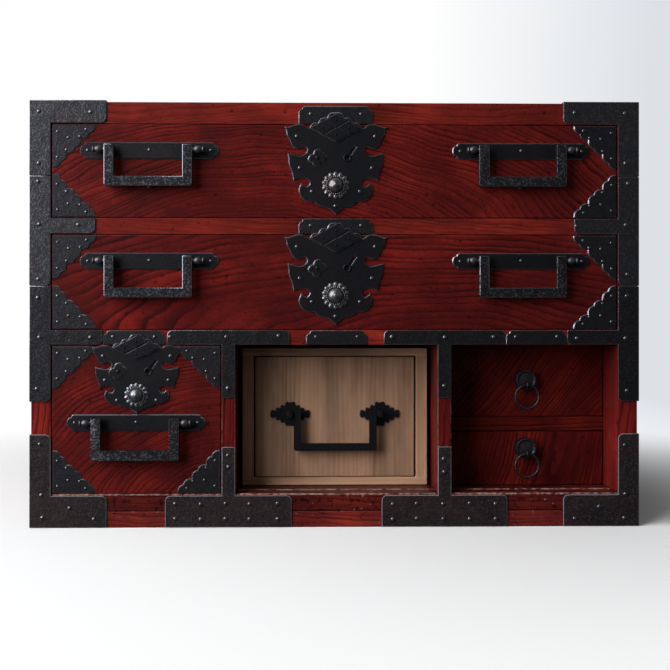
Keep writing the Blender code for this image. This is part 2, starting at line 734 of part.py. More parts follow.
def build_kiri_box(carcase, kiri, tray_wood, iron):
    """The loose paulownia box of the centre bay, its drawer, and the drawer's bail on two roses."""
    middle = sum(CENTRE_BAY) / 2
    face = FRONT + KIRI_RECESS
    x = (middle - KIRI_WIDTH / 2, middle + KIRI_WIDTH / 2)
    z = (FLOOR_Z + FIT, FLOOR_Z + FIT + KIRI_HEIGHT)
    case_carrier = frame("kiri_case", (middle, face, z[0]), carcase)
    case = solid("kiri_case", box(x, (face, face + KIRI_LENGTH), z), kiri, case_carrier)
    inside_x = (x[0] + KIRI_STILE, x[1] - KIRI_STILE)
    inside_z = (z[0] + KIRI_BOTTOM, z[1] - KIRI_TOP)
    cut(case, box(inside_x, (face - CUT_PAST, face + KIRI_LENGTH - KIRI_BACK), inside_z))

    carrier = frame("kiri_drawer", (middle, face, inside_z[0]), case_carrier)
    build_drawer("kiri_drawer", inside_x, inside_z, face, KIRI_FRONT, KIRI_DRAWER_LENGTH, (kiri, tray_wood), carrier)
    pivot_z = inside_z[1] - KIRI_HANDLE_DROP
    roses = []
    for hand, side in (("left", -1), ("right", 1)):
        rose_x = middle + side * KIRI_POST_SPACING / 2
        outline = scalloped_diamond(rose_x, pivot_z, ROSE_WIDTH, ROSE_HEIGHT, lobes=2)
        rose = solid(f"kiri_{hand}_rose", prism(outline, "front", face - FIT - BACK_PLATE, face - FIT), iron, carrier)
        join(rose, post_shape(rose_x, pivot_z, face, KIRI_POST_RADIUS))
        roses.append(rose)
    hang_bail(
        "kiri_bail",
        middle,
        pivot_z,
        face,
        roses,
        KIRI_POST_SPACING,
        KIRI_POST_RADIUS,
        KIRI_PIN_RADIUS,
        KIRI_BAIL_BAR,
        KIRI_BAIL_THICKNESS,
        KIRI_BAIL_DROP,
        carrier,
        iron,
    )


def ring_shape(x, y, z):
    """A round wire ring that faces the front."""
    shape = bmesh.new()
    section = bmesh.ops.create_circle(shape, segments=WIRE_STEPS, radius=RING_WIRE)["verts"]
    bmesh.ops.translate(shape, verts=section, vec=(RING_RADIUS, 0, 0))
    edges = list(shape.edges)
    bmesh.ops.spin(
        shape,
        geom=section + edges,
        cent=(0, 0, 0),
        axis=(0, 1, 0),
        angle=2 * math.pi,
        steps=RING_STEPS,
        use_merge=True,
    )
    bmesh.ops.remove_doubles(shape, verts=shape.verts, dist=1e-6)
    bmesh.ops.recalc_face_normals(shape, faces=shape.faces)
    bmesh.ops.translate(shape, verts=shape.verts, vec=(x, y, z))
    return shape


def build_ring_pull(name, x, z, face, carrier, iron):
    """A hooded knob with an eye low on its front, and the ring that hangs in the eye."""
    profile = [
        (0, 0),
        (KNOB_RADIUS * 0.9, 0),
        (KNOB_RADIUS, KNOB_OUT * 0.2),
        (KNOB_RADIUS * 0.97, KNOB_OUT * 0.6),
        (KNOB_RADIUS * 0.75, KNOB_OUT * 0.9),
        (0, KNOB_OUT),
    ]
    knob = solid(f"{name}_knob", turned(profile, (x, face - FIT, z)), iron, carrier)
    eye_y, eye_z = face - EYE_OUT, z - EYE_BELOW_KNOB
    root = face - FIT - KNOB_OUT / 2
    tongue = [(root, eye_z - EYE_RADIUS), (root, eye_z + EYE_RADIUS)]
    turns = [math.pi / 2 + math.pi * step / CORNER_STEPS / 2 for step in range(2 * CORNER_STEPS + 1)]
    tongue += [(eye_y + EYE_RADIUS * math.cos(turn), eye_z + EYE_RADIUS * math.sin(turn)) for turn in turns]
    join(knob, prism(tongue, "side", x - EYE_WIDTH / 2, x + EYE_WIDTH / 2))
    cut(knob, rod((x - EYE_WIDTH, x + EYE_WIDTH), eye_y, eye_z, EYE_HOLE_RADIUS))
    ring_carrier = frame(f"{name}_ring", (x, eye_y, eye_z), carrier)
    solid(f"{name}_ring", ring_shape(x, eye_y, eye_z - RING_RADIUS), iron, ring_carrier)


def build_ring_drawers(carcase, lacquer, tray_wood, iron):
    middle = sum(RIGHT_BAY) / 2
    face = FRONT + RING_RECESS
    bays = {
        "upper": ((UPPER_RING_BAY_Z, LOWER_SHELF_Z), UPPER_KNOB_DROP),
        "lower": ((FLOOR_Z, RING_SHELF_Z), LOWER_KNOB_DROP),
    }
    for name, (bay, knob_drop) in bays.items():
        carrier = frame(f"{name}_ring_drawer", (middle, face, bay[0]), carcase)
        build_drawer(
            f"{name}_ring_drawer", RIGHT_BAY, bay, face, RING_FRONT, RING_DRAWER_LENGTH, (lacquer, tray_wood), carrier
        )
        build_ring_pull(name, middle, bay[1] - knob_drop, face, carrier, iron)


def main():
    for leftover in list(bpy.data.objects):
        bpy.data.objects.remove(leftover)
    lacquer = material("red_lacquered_zelkova", (0.20, 0.022, 0.012), 0.35)
    plain_wood = material("plain_cedar", (0.33, 0.20, 0.11), 0.7)
    kiri = material("bare_paulownia", (0.42, 0.29, 0.17), 0.65)
    iron = material("black_iron", (0.02, 0.02, 0.023), 0.45, 0.6)
    carcase = frame("carcase", (0, 0, 0))
    boards = build_carcase(carcase, lacquer, plain_wood)
    build_ironwork(carcase, iron)
    build_locking_drawers(carcase, boards, lacquer, plain_wood, iron)
    build_kiri_box(carcase, kiri, plain_wood, iron)
    build_ring_drawers(carcase, lacquer, plain_wood, iron)


main()
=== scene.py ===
# %% [markdown]
# # A sea chest in lacquered wood and black iron
#
# A sea chest (funadansu) kept a trader's seals, papers and money. Its front is zelkova wood wiped
# with red lacquer and strapped with black iron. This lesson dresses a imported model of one: the
# model gives every board, strap and drawer its place, and the cells below give each of them its
# finish. Everything is in metres, the front faces -Y, and every finished piece keeps its object
# at the origin, so that a pattern on Object coordinates stays where it was drawn.

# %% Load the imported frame
import json
import math

import bpy
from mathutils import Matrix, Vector

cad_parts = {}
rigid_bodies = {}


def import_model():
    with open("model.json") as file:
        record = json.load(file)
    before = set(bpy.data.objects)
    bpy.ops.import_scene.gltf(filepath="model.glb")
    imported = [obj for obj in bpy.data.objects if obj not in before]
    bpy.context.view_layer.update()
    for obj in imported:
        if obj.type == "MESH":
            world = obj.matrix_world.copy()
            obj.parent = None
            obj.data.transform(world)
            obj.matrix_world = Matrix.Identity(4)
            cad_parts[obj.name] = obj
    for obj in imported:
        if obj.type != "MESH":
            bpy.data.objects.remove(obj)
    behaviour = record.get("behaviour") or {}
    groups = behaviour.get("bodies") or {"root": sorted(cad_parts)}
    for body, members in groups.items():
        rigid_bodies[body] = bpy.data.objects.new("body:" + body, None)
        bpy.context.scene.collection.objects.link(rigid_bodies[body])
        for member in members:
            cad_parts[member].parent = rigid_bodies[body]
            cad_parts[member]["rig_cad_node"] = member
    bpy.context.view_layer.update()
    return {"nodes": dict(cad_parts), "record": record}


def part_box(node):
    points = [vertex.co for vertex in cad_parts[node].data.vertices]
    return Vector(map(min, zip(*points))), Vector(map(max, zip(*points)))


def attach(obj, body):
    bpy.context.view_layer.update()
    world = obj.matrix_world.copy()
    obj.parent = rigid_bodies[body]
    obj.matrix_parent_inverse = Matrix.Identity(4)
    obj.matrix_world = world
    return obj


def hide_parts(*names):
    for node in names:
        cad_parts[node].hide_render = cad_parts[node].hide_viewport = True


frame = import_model()
nodes = frame["nodes"]
bodies = frame["record"]["behaviour"]["bodies"]
body_of = {node: body for body, members in bodies.items() for node in members}
bpy.ops.object.select_all(action="DESELECT")
scene = bpy.context.scene
scene.view_settings.view_transform = "Standard"
MM = 0.001
QUARTER = math.radians(90)

# %% [markdown]
# ## The camera
#
# The chest was photographed almost square on, from a metre away at half its height. The lines that
# run back into the open bays meet a little left of the picture's middle, so the camera stands left
# of the middle, is turned one degree to the right, and the rest is lens shift, which moves the
# picture without tilting the uprights.

# %% Camera
bpy.ops.object.camera_add(location=(-0.0384, -1.2211, 0.2059), rotation=(QUARTER, 0, math.radians(-1)))
camera = bpy.context.object
camera.data.sensor_width = 36
camera.data.lens = 54.3
camera.data.shift_x = 0.030
camera.data.shift_y = -0.021
scene.camera = camera
print("camera at", tuple(camera.location))

# %% [markdown]
# ## Functions for colours and nodes
#
# Colours are read off as sRGB hex values, but shaders count in linear light, so one function turns
# the first into the second. Material nodes are all added by one other function: settings are the
# node's properties, links fill its sockets, and stops are the colours of a ramp. Links go by name
# or number, or in the sockets' own order when they are a plain list: for Map Range that is the
# value, the range it comes from and the range it goes to. A link is a number, a socket, or a node,
# which stands for its first output.


# %% Helpers for materials
def linear(colour):
    channels = [int(colour[at : at + 2], 16) / 255 for at in (1, 3, 5)]
    return [c / 12.92 if c <= 0.04045 else ((c + 0.055) / 1.055) ** 2.4 for c in channels] + [1.0]


def link(tree, node, links):
    """Fill a node's sockets."""
    for socket, value in links.items() if isinstance(links, dict) else enumerate(links):
        source = value.outputs[0] if isinstance(value, bpy.types.Node) else value
        if isinstance(source, bpy.types.NodeSocket):
            tree.links.new(source, node.inputs[socket])
        else:
            node.inputs[socket].default_value = source


def add(tree, kind, links=(), stops=(), **settings):
    """Add a node with its settings, links and stops."""
    made = tree.nodes.new(kind)
    for name, value in settings.items():
        setattr(made, name, value)
    link(tree, made, links)
    for count, (place, colour) in enumerate(stops):
        ramp = made.color_ramp.elements
        if count == 0:
            ramp.remove(ramp[1])
            ramp[0].position = place
        stop = ramp[0] if count == 0 else ramp.new(place)
        stop.color = linear(colour)
    return made


def new_finish(name):
    finish = bpy.data.materials.new(name)
    finish.use_nodes = True
    return finish, finish.node_tree, finish.node_tree.nodes["Principled BSDF"]


print("red lacquer in linear light:", [round(c, 4) for c in linear("#6e241e")])

# %% [markdown]
# ## Floor, background and light
#
# The background is plain white and a little greyer to the right. The world shows that white only to
# the camera and to reflections (Is Camera Ray, Is Glossy Ray, Is Transmission Ray), and lights the
# chest with a dimmer grey, so that the lamps decide how bright the wood is. The floor is an ordinary
# pale surface close to the chest, where the shadow falls, and fades into the same white further out.
# Reflections see its white only behind the chest: in front, it would brighten every black iron.
#
# One large soft lamp stands high at the left, as in the photograph, where upper left edges shine,
# shadows fall below the handles and the right-hand irons stay dark. Two weak ones, at the right and
# above, keep the shadows open.

# %% World
WHITE, GREY = "#ffffff", "#dde1e6"
AMBIENT = 0.1  # strength of the light that the world throws on the chest
ROOM = 0.05  # strength at which reflections see the dark room in front of the chest
world = bpy.data.worlds.new("white_studio")
scene.world = world
world.use_nodes = True
tree = world.node_tree
tree.nodes.clear()
way = add(tree, "ShaderNodeTexCoord").outputs["Generated"]
side = add(tree, "ShaderNodeSeparateXYZ", {"Vector": way})
across = add(tree, "ShaderNodeMapRange", (side.outputs["X"], -0.6, 0.6))
shade = add(tree, "ShaderNodeValToRGB", {"Fac": across}, stops=((0.6, WHITE), (0.77, GREY)))
rays = add(tree, "ShaderNodeLightPath").outputs
front = add(tree, "ShaderNodeMapRange", (side.outputs["Y"], -0.4, 0.35, ROOM, 1.0))
bounced = (rays["Is Glossy Ray"], rays["Is Transmission Ray"])
seen = add(tree, "ShaderNodeMath", bounced, operation="MAXIMUM")
mirrored = add(tree, "ShaderNodeMix", {0: seen, 2: AMBIENT, 3: front})
level = add(tree, "ShaderNodeMix", {0: rays["Is Camera Ray"], 2: mirrored, 3: 1.0})
sky = add(tree, "ShaderNodeBackground", {"Color": shade, "Strength": level})
add(tree, "ShaderNodeOutputWorld", {"Surface": sky})
print("world:", world.name)

# %% Floor
bpy.ops.mesh.primitive_plane_add(size=12)
floor = bpy.context.object
floor.name = "floor"
finish, tree, surface = new_finish("pale_matt_floor")
where = add(tree, "ShaderNodeTexCoord").outputs["Object"]
across = add(tree, "ShaderNodeSeparateXYZ", {"Vector": where}).outputs
rays = add(tree, "ShaderNodeLightPath").outputs
behind = add(tree, "ShaderNodeMapRange", (across["Y"], 0.0, 0.6))
bounced = (rays["Is Glossy Ray"], rays["Is Transmission Ray"])
mirrored = add(tree, "ShaderNodeMath", bounced, operation="MAXIMUM")
mirrored = add(tree, "ShaderNodeMath", (mirrored, behind), operation="MULTIPLY")
seen = add(tree, "ShaderNodeMath", (rays["Is Camera Ray"], mirrored), operation="MAXIMUM")
paint = add(tree, "ShaderNodeMix", {0: seen, 6: linear("#4c4c4d"), 7: linear("#e8e9ea")}, data_type="RGBA")
link(tree, surface, {"Base Color": paint.outputs[2], "Roughness": 0.9, "Specular IOR Level": 0.1})
reach = add(tree, "ShaderNodeVectorMath", (where,), operation="LENGTH")
fade = add(tree, "ShaderNodeMapRange", (reach.outputs["Value"], 0.3, 0.95), interpolation_type="SMOOTHSTEP")
share = add(tree, "ShaderNodeMath", (fade, seen), operation="MULTIPLY")
tint = add(tree, "ShaderNodeValToRGB", {"Fac": across["X"]}, stops=((0.2, WHITE), (0.9, GREY)))
glow = add(tree, "ShaderNodeEmission", {"Color": tint, "Strength": 1.0})
blend = add(tree, "ShaderNodeMixShader", (share, surface, glow))
link(tree, tree.nodes["Material Output"], {"Surface": blend})
floor.data.materials.append(finish)
print("floor:", finish.name)

# %% Lamps
CHEST_MIDDLE = Vector((0, 0, 0.21))
LAMPS = {
    "left_softbox": ((-1.8, -1.3, 1.2), 2.3, 128),
    "right_fill": ((1.6, -1.9, 0.9), 1.4, 2.5),
    "top_fill": ((-0.2, -0.3, 1.9), 1.2, 3),
}
for name, (place, size, power) in LAMPS.items():
    aim = (CHEST_MIDDLE - Vector(place)).to_track_quat("-Z", "Y").to_euler()
    bpy.ops.object.light_add(type="AREA", location=place, rotation=aim)
    lamp = bpy.context.object
    lamp.name = name
    lamp.data.size = size
    lamp.data.energy = power
print(len(LAMPS), "soft lamps, ambient light", AMBIENT)

# %% [markdown]
# ## Red lacquered zelkova
#
# Zelkova (keyaki) is a ring-porous wood: each year starts with a band of coarse pores that drink the
# lacquer and turn almost black, and ends in smooth wood that stays red. A board sawn flat across
# those rings shows flames and waves. The simplest way to get them is to draw the tree, not the
# board. A Mapping node lays a heart line in or behind each board at a small lean, and noise bends
# the space round it. A point's distance from that line, counted in rings, is its year, and the
# fraction left over is its season. Each board gets its own heart line, so no two boards match.
#
# Edges that use has rubbed are marked with a face attribute, and lose their lacquer.

# %% Zelkova
YEAR = 4.1 * MM  # width of a common ring


def lacquered_zelkova(name, heart, turn, tones, ring=YEAR, scuffs=0.0):
    """Wiped red lacquer over zelkova: dark pores in a warm red ground, a soft satin gloss."""
    dark, middle, light = tones
    finish, tree, surface = new_finish(name)
    where = add(tree, "ShaderNodeTexCoord").outputs["Object"]
    placing = {"Vector": where, "Location": heart, "Rotation": [math.radians(angle) for angle in turn]}
    log = add(tree, "ShaderNodeMapping", placing, vector_type="TEXTURE")

    # Growth wanders slowly along the trunk and quickly across it: waves of about 110 mm and 20 mm.
    slow_place = add(tree, "ShaderNodeMapping", {"Vector": log, "Scale": (4, 9, 9)})
    slow = add(tree, "ShaderNodeTexNoise", {"Vector": slow_place, "Scale": 1.0, "Detail": 2.0})
    quick_place = add(tree, "ShaderNodeMapping", {"Vector": log, "Scale": (28, 50, 50)})
    quick = add(tree, "ShaderNodeTexNoise", {"Vector": quick_place, "Scale": 1.0, "Detail": 3.0})
    bent = log
    for waves, swing in ((slow, 34 * MM), (quick, 5 * MM)):
        swung = (waves.outputs["Color"], (0.0, swing, swing), bent)
        bent = add(tree, "ShaderNodeVectorMath", swung, operation="MULTIPLY_ADD")

    # The year a point grew in is its distance from the heart line in rings, with fat years and lean years.
    spoke = add(tree, "ShaderNodeVectorMath", (bent, (0, 1, 1)), operation="MULTIPLY")
    reach = add(tree, "ShaderNodeVectorMath", (spoke,), operation="LENGTH")
    year = add(tree, "ShaderNodeMath", (reach.outputs["Value"], ring), operation="DIVIDE")
    lean = add(tree, "ShaderNodeTexNoise", {"W": year, "Scale": 0.5, "Detail": 2.0}, noise_dimensions="1D")
    uneven = add(tree, "ShaderNodeMath", (lean, 1.6, year), operation="MULTIPLY_ADD")
    season = add(tree, "ShaderNodeMath", (uneven,), operation="FRACT")
    seasons = ((0.0, dark), (0.1, dark), (0.3, middle), (0.7, light), (0.93, light), (1.0, dark))
    ground = add(tree, "ShaderNodeValToRGB", {"Fac": season}, stops=seasons)

    # Some years hardly show, so the rings fade in and out of the plain middle tone.
    fade = add(tree, "ShaderNodeTexNoise", {"Vector": slow_place, "Scale": 2.6, "Detail": 3.0})
    plain = add(tree, "ShaderNodeMapRange", (fade, 0.35, 0.62, 0.82, 0.15))
    ground = add(tree, "ShaderNodeMix", {0: plain, 6: ground, 7: linear(middle)}, data_type="RGBA").outputs[2]

    # Where hands and cloths have worn the lacquer thin, the wood shows through more orange.
    thinning = {"Vector": slow_place, "Scale": 3.4, "Detail": 3.0, "Lacunarity": 2.3}
    thin = add(tree, "ShaderNodeMapRange", (add(tree, "ShaderNodeTexNoise", thinning), 0.46, 0.72, 0.0, 0.8))
    bright = add(tree, "ShaderNodeVectorMath", (ground, (1.9, 1.75, 1.3)), operation="MULTIPLY")
    ground = add(tree, "ShaderNodeMix", {0: thin, 6: ground, 7: bright}, data_type="RGBA").outputs[2]

    # Pores: dark streaks about 1 mm wide and 20 mm long, drawn a little coarser than they are.
    pore_place = add(tree, "ShaderNodeMapping", {"Vector": bent, "Scale": (50, 700, 700)})
    pores = add(tree, "ShaderNodeTexNoise", {"Vector": pore_place, "Scale": 1.0, "Detail": 2.0})
    pore_shade = add(tree, "ShaderNodeMapRange", (pores, 0.3, 0.7, 0.82, 1.16))

    # Lacquer lies thick and thin in patches of 80 mm, and old knocks leave dark flecks of 6 mm.
    patch = add(tree, "ShaderNodeTexNoise", {"Vector": log, "Scale": 12.0, "Detail": 4.0})
    patch_shade = add(tree, "ShaderNodeMapRange", (patch, 0.3, 0.7, 0.7, 1.3))
    fleck = add(tree, "ShaderNodeTexNoise", {"Vector": where, "Scale": 170.0, "Detail": 1.0})
    more = 0.1 * scuffs
    fleck_shade = add(tree, "ShaderNodeMapRange", (fleck, 0.66 - more, 0.76 - more, 1.0, 0.4))
    shade = add(tree, "ShaderNodeMath", (pore_shade, patch_shade), operation="MULTIPLY")
    shade = add(tree, "ShaderNodeMath", (shade, fleck_shade), operation="MULTIPLY")
    colour = add(tree, "ShaderNodeVectorMath", {0: ground, "Scale": shade}, operation="SCALE")

    # Knocked and rubbed edges lose lacquer and wood in pale grey nicks of 2 to 4 mm.
    nick = add(tree, "ShaderNodeTexNoise", {"Vector": where, "Scale": 240.0, "Detail": 2.0})
    knocked = add(tree, "ShaderNodeMapRange", (nick, 0.68, 0.72, 0.0, 0.8 * scuffs))
    rubbed = add(tree, "ShaderNodeAttribute", attribute_name="wear_and_sheen").outputs["Fac"]
    rub = add(tree, "ShaderNodeMapRange", (nick, 0.36, 0.66, 0.0, 0.75))
    rubbed = add(tree, "ShaderNodeMath", (rubbed, rub), operation="MULTIPLY")
    bare = add(tree, "ShaderNodeMath", (knocked, rubbed), operation="MAXIMUM")
    colour = add(tree, "ShaderNodeMix", {0: bare, 6: colour, 7: linear("#98807a")}, data_type="RGBA")

    gloss = add(tree, "ShaderNodeMapRange", (patch, 0.3, 0.7, 0.44, 0.3))
    bump = add(tree, "ShaderNodeBump", {"Height": pores, "Strength": 0.06, "Distance": 0.3 * MM})
    look = {"Base Color": colour.outputs[2], "Roughness": gloss, "Specular IOR Level": 0.06, "Normal": bump}
    link(tree, surface, look)
    return finish


print("a common ring is", round(YEAR / MM, 1), "mm wide")

# %% A log for each board
# Tones run from the pores to the smooth wood.
RAIL_RED = ("#461110", "#5c1915", "#682018")
DRAWER_RED = ("#280909", "#481111", "#5f1714")
FRONT_RED = ("#260909", "#441010", "#5a1613")
SECOND_RED = ("#260909", "#431010", "#591513")
# The boards inside the right bay get darker tones: painted shade of the recess.
SHADED_BAY_RED = ("#1e0606", "#400d0c", "#521410")
BASE_RED = ("#421313", "#571b19", "#64231e")
FLOOR_RED = ("#250a0a", "#3f1211", "#4e1815")
# A log is its heart line's place, its lean in degrees and its tones. The width of its rings and its
# share of scuffs follow where they differ.
LOGS = {
    "top_board": ((0.1, -0.26, 0.33), (0, 3, 4), RAIL_RED),
    "upper_rail": ((0, -0.16, 0.21), (0, 2, 3), RAIL_RED),
    "lower_rail": ((0, -0.12, 0.12), (0, -2, 3), RAIL_RED),
    "top_drawer": ((-0.105, -0.212, 0.262), (0, 0, 32), FRONT_RED),
    "second_drawer": ((0.2, -0.212, 0.188), (0, 2, -15), SECOND_RED, 6.4 * MM),
    "small_drawer": ((-0.115, -0.212, 0.015), (0, 0, 45), FRONT_RED),
    "upper_ring_drawer": ((0.34, -0.13, 0.02), (0, -50, 12), SHADED_BAY_RED),
    "lower_ring_drawer": ((0.2, -0.12, 0.0), (0, -80, 12), SHADED_BAY_RED, 3.6 * MM),
    "ring_shelf": ((0.2, -0.12, -0.06), (0, 2, 3), SHADED_BAY_RED),
    "right_side": ((0.35, -0.05, 0.2), (3, -87, 4), DRAWER_RED),
    "sides": ((-0.2, -0.08, 0.2), (3, -87, 4), DRAWER_RED),
    "partitions": ((0.05, -0.1, 0.1), (3, -86, 6), DRAWER_RED),
    "base": ((0, -0.14, -0.05), (0, 2, -3), BASE_RED, YEAR, 0.3),
    "floor": ((0, -0.14, -0.02), (0, 2, -3), FLOOR_RED, YEAR, 1.0),
}
ZELKOVA = {name: lacquered_zelkova(f"zelkova_{name}", *log) for name, log in LOGS.items()}
print(len(ZELKOVA), "zelkova boards")

# %% [markdown]
# ## Bare paulownia and cedar
#
# The inner box is paulownia (kiri), left bare: pale, light and straight-grained, with its fine lines
# standing upright on the front and lying along the rails of its case. Wave in Bands mode gives
# straight year rings, spaced a few millimetres apart and bent a little by noise. Streaks, broader
# bands and old damp stains follow the same grain. The drawer linings and the back are plain cedar,
# made the same way in a warmer colour, with the lines running along the boards.


# %% Straight-grained woods
def straight_wood(name, lines, along, ring, stops, roughness):
    """Bare sawn softwood: fine parallel rings, no gloss, dust-dry."""
    finish, tree, surface = new_finish(name)
    where = add(tree, "ShaderNodeTexCoord").outputs["Object"]
    # A rail that lies across the front is marked so, and its lines run along it.
    laid = add(tree, "ShaderNodeMapping", {"Vector": where, "Rotation": (0, QUARTER, 0)})
    lying = add(tree, "ShaderNodeAttribute", attribute_name="lying").outputs["Fac"]
    grain = add(tree, "ShaderNodeMix", {0: lying, 4: where, 5: laid}, data_type="VECTOR").outputs[1]
    # Noise is drawn out along the grain: the years bend in waves of 250 mm along it and 33 mm across it.
    stretch = [4 if axis == along else 30 for axis in "XYZ"]
    stretched = add(tree, "ShaderNodeMapping", {"Vector": grain, "Scale": stretch})
    bend = add(tree, "ShaderNodeTexNoise", {"Vector": stretched, "Scale": 1.0, "Detail": 2.0})
    swung = (bend.outputs["Color"], [12 * MM] * 3, grain)
    bent = add(tree, "ShaderNodeVectorMath", swung, operation="MULTIPLY_ADD")
    pitch = {"Vector": bent, "Scale": math.tau / 20 / ring}
    banded = {"wave_type": "BANDS", "bands_direction": lines, "wave_profile": "SIN"}
    rings = add(tree, "ShaderNodeTexWave", pitch, **banded).outputs["Fac"]
    # Streaks half a millimetre wide would not show, so they are drawn at about a millimetre. Bands, where
    # fast and slow years lie side by side, are a finger wide. Damp stains are as wide and a hand long.
    waves = ((bent, 12, 600, 3.0), (bent, 3, 70, 2.0), (grain, 7, 26, 4.0))
    drawn_out = []
    for place, along_it, across_it, detail in waves:
        stretch = [along_it if axis == along else across_it for axis in "XYZ"]
        stretched = add(tree, "ShaderNodeMapping", {"Vector": place, "Scale": stretch})
        fine = {"Vector": stretched, "Scale": 1.0, "Detail": detail}
        drawn_out.append(add(tree, "ShaderNodeTexNoise", fine))
    streaks, bands, stain = drawn_out
    mixed = add(tree, "ShaderNodeMath", (rings, 0.1), operation="MULTIPLY")
    mixed = add(tree, "ShaderNodeMath", (streaks, 0.25, mixed), operation="MULTIPLY_ADD")
    mixed = add(tree, "ShaderNodeMath", (bands, 0.6, mixed), operation="MULTIPLY_ADD")
    ground = add(tree, "ShaderNodeValToRGB", {"Fac": mixed}, stops=stops)
    shade = add(tree, "ShaderNodeMapRange", (stain, 0.32, 0.58, 0.5, 1.06))
    colour = add(tree, "ShaderNodeVectorMath", {0: ground, "Scale": shade}, operation="SCALE")
    bump = add(tree, "ShaderNodeBump", {"Height": streaks, "Strength": 0.3, "Distance": 0.3 * MM})
    look = {"Base Color": colour, "Roughness": roughness, "Specular IOR Level": 0.25, "Normal": bump}
    link(tree, surface, look)
    return finish


KIRI_STOPS = ((0.3, "#7c5b46"), (0.42, "#947159"), (0.52, "#9b7860"), (0.64, "#a17f66"))
# The case gets lighter tones than the drawer front: painted light, where more light falls on its frame.
LIT_CASE_STOPS = ((0.3, "#8f6950"), (0.42, "#a67f63"), (0.52, "#ad876b"), (0.64, "#b48f73"))
CEDAR_STOPS = ((0.3, "#6a4a31"), (0.46, "#94704d"), (0.64, "#a9845c"))
kiri = straight_wood("bare_paulownia", "X", "Z", 5 * MM, KIRI_STOPS, 0.75)
lit_case_kiri = straight_wood("bare_paulownia_case_painted_light", "X", "Z", 5 * MM, LIT_CASE_STOPS, 0.75)
cedar = straight_wood("plain_cedar", "Z", "Y", 4 * MM, CEDAR_STOPS, 0.8)
cedar_back = straight_wood("plain_cedar_back", "X", "Z", 5 * MM, CEDAR_STOPS, 0.8)
print("bare woods:", kiri.name, lit_case_kiri.name, cedar.name, cedar_back.name)

# %% [markdown]
# ## Black forged iron
#
# The fittings are sheet iron, hammered flat, then blackened with lacquer burnt on over a fire. That
# leaves a near-black satin skin with a fine orange-peel of hammer and scale, and a breath of brown
# rust where it wears. The bump is scale about 2 mm across over hammer dents of 11 mm, and roughness
# changes with the scale, so edges glint unevenly. Faces marked as filed are painted a lighter grey and
# made smooth: partly bare filed metal, partly a painted highlight along the edges.


# %% Iron
def black_iron(name, colour, rust, speck, relief, gloss=(0.62, 0.42), metal=0.85, shine=0.5):
    """Burnt-lacquer iron: dark satin metal, speckled by scale, painted bright where filed: wear and painted
    highlight.
    """
    finish, tree, surface = new_finish(name)
    where = add(tree, "ShaderNodeTexCoord").outputs["Object"]
    scale = add(tree, "ShaderNodeTexNoise", {"Vector": where, "Scale": 1 / (1.8 * MM), "Detail": 2.0})
    dents = add(tree, "ShaderNodeTexNoise", {"Vector": where, "Scale": 1 / (11 * MM), "Detail": 1.0})
    # Rust blooms in patches of about 35 mm.
    bloom = add(tree, "ShaderNodeTexNoise", {"Vector": where, "Scale": 28.0, "Detail": 5.0})
    rusted = add(tree, "ShaderNodeMapRange", (bloom, 0.42, 0.64))
    specks = add(tree, "ShaderNodeMapRange", (scale, 0.5, 0.66))
    wear_and_sheen = add(tree, "ShaderNodeAttribute", attribute_name="wear_and_sheen").outputs["Fac"]
    skin = linear(colour)
    # Faces marked filed mix towards a light grey: partly bare filed metal, partly a painted highlight.
    for share, tone in ((rusted, rust), (specks, speck), (wear_and_sheen, "#67686e")):
        skin = add(tree, "ShaderNodeMix", {0: share, 6: skin, 7: linear(tone)}, data_type="RGBA").outputs[2]
    rough = add(tree, "ShaderNodeMapRange", (scale, 0.3, 0.7, *gloss))
    rough = add(tree, "ShaderNodeMix", {0: wear_and_sheen, 2: rough, 3: 0.24})
    height = add(tree, "ShaderNodeMath", (dents, 1.5, scale), operation="MULTIPLY_ADD")
    bump = add(tree, "ShaderNodeBump", {"Height": height, "Strength": 1.0, "Distance": relief})
    link(tree, surface, {"Base Color": skin, "Roughness": rough, "Normal": bump})
    link(tree, surface, {"Metallic": metal, "Specular IOR Level": shine})
    return finish


strap_iron = black_iron("black_strap_iron", "#2b2c31", "#2d292c", "#434449", 0.3 * MM, (0.56, 0.38))
shelf_iron = black_iron("black_shelf_iron", "#1e1f23", "#211e20", "#33343a", 0.3 * MM, (0.56, 0.4))
plate_iron = black_iron("black_plate_iron", "#202126", "#242225", "#2e2f35", 0.25 * MM, (0.58, 0.4))
base_iron = black_iron("rusted_base_iron", "#151215", "#211919", "#302727", 0.4 * MM, (0.7, 0.52), 0.0, 0.15)
lock_iron = black_iron("black_lock_iron", "#17181d", "#1d1a1d", "#222328", 0.12 * MM)
boss_iron = black_iron("rubbed_boss_iron", "#5a5b60", "#55504e", "#787980", 0.03 * MM, (0.36, 0.28))
bail_iron = black_iron("hammered_bail_iron", "#1a1b1f", "#231d1f", "#4a4b52", 0.35 * MM)
print("seven irons, from", lock_iron.name, "to", boss_iron.name)

# %% [markdown]
# ## Boards with eased arrises
#
# A hand-planed board has no sharp edge: its arrises are eased with a stroke or two, and the eased edge
# is what catches the light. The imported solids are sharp, so each visible board is a copy of its solid
# with its loose triangles merged, its flat faces dissolved back into one, and a small Bevel applied.
# Drawing the boards again would risk moving them, and a copy can't move. A rail with a mortise below
# is eased along its upper edges alone. The floor and the partitions of the bays are worn at the front,
# so their edges are marked as rubbed.

# %% Helpers for pieces
FLAT = math.radians(20)  # smooth shading stops short of the 22.5 degrees between a board and its bevel


def only(piece):
    """Make a piece the one selected and active object."""
    bpy.ops.object.select_all(action="DESELECT")
    piece.select_set(True)
    bpy.context.view_layer.objects.active = piece


def join(pieces, name):
    """Join pieces into the first of them."""
    only(pieces[0])
    for piece in pieces:
        piece.select_set(True)
    if len(pieces) > 1:
        bpy.ops.object.join()
    pieces[0].name = name
    return pieces[0]


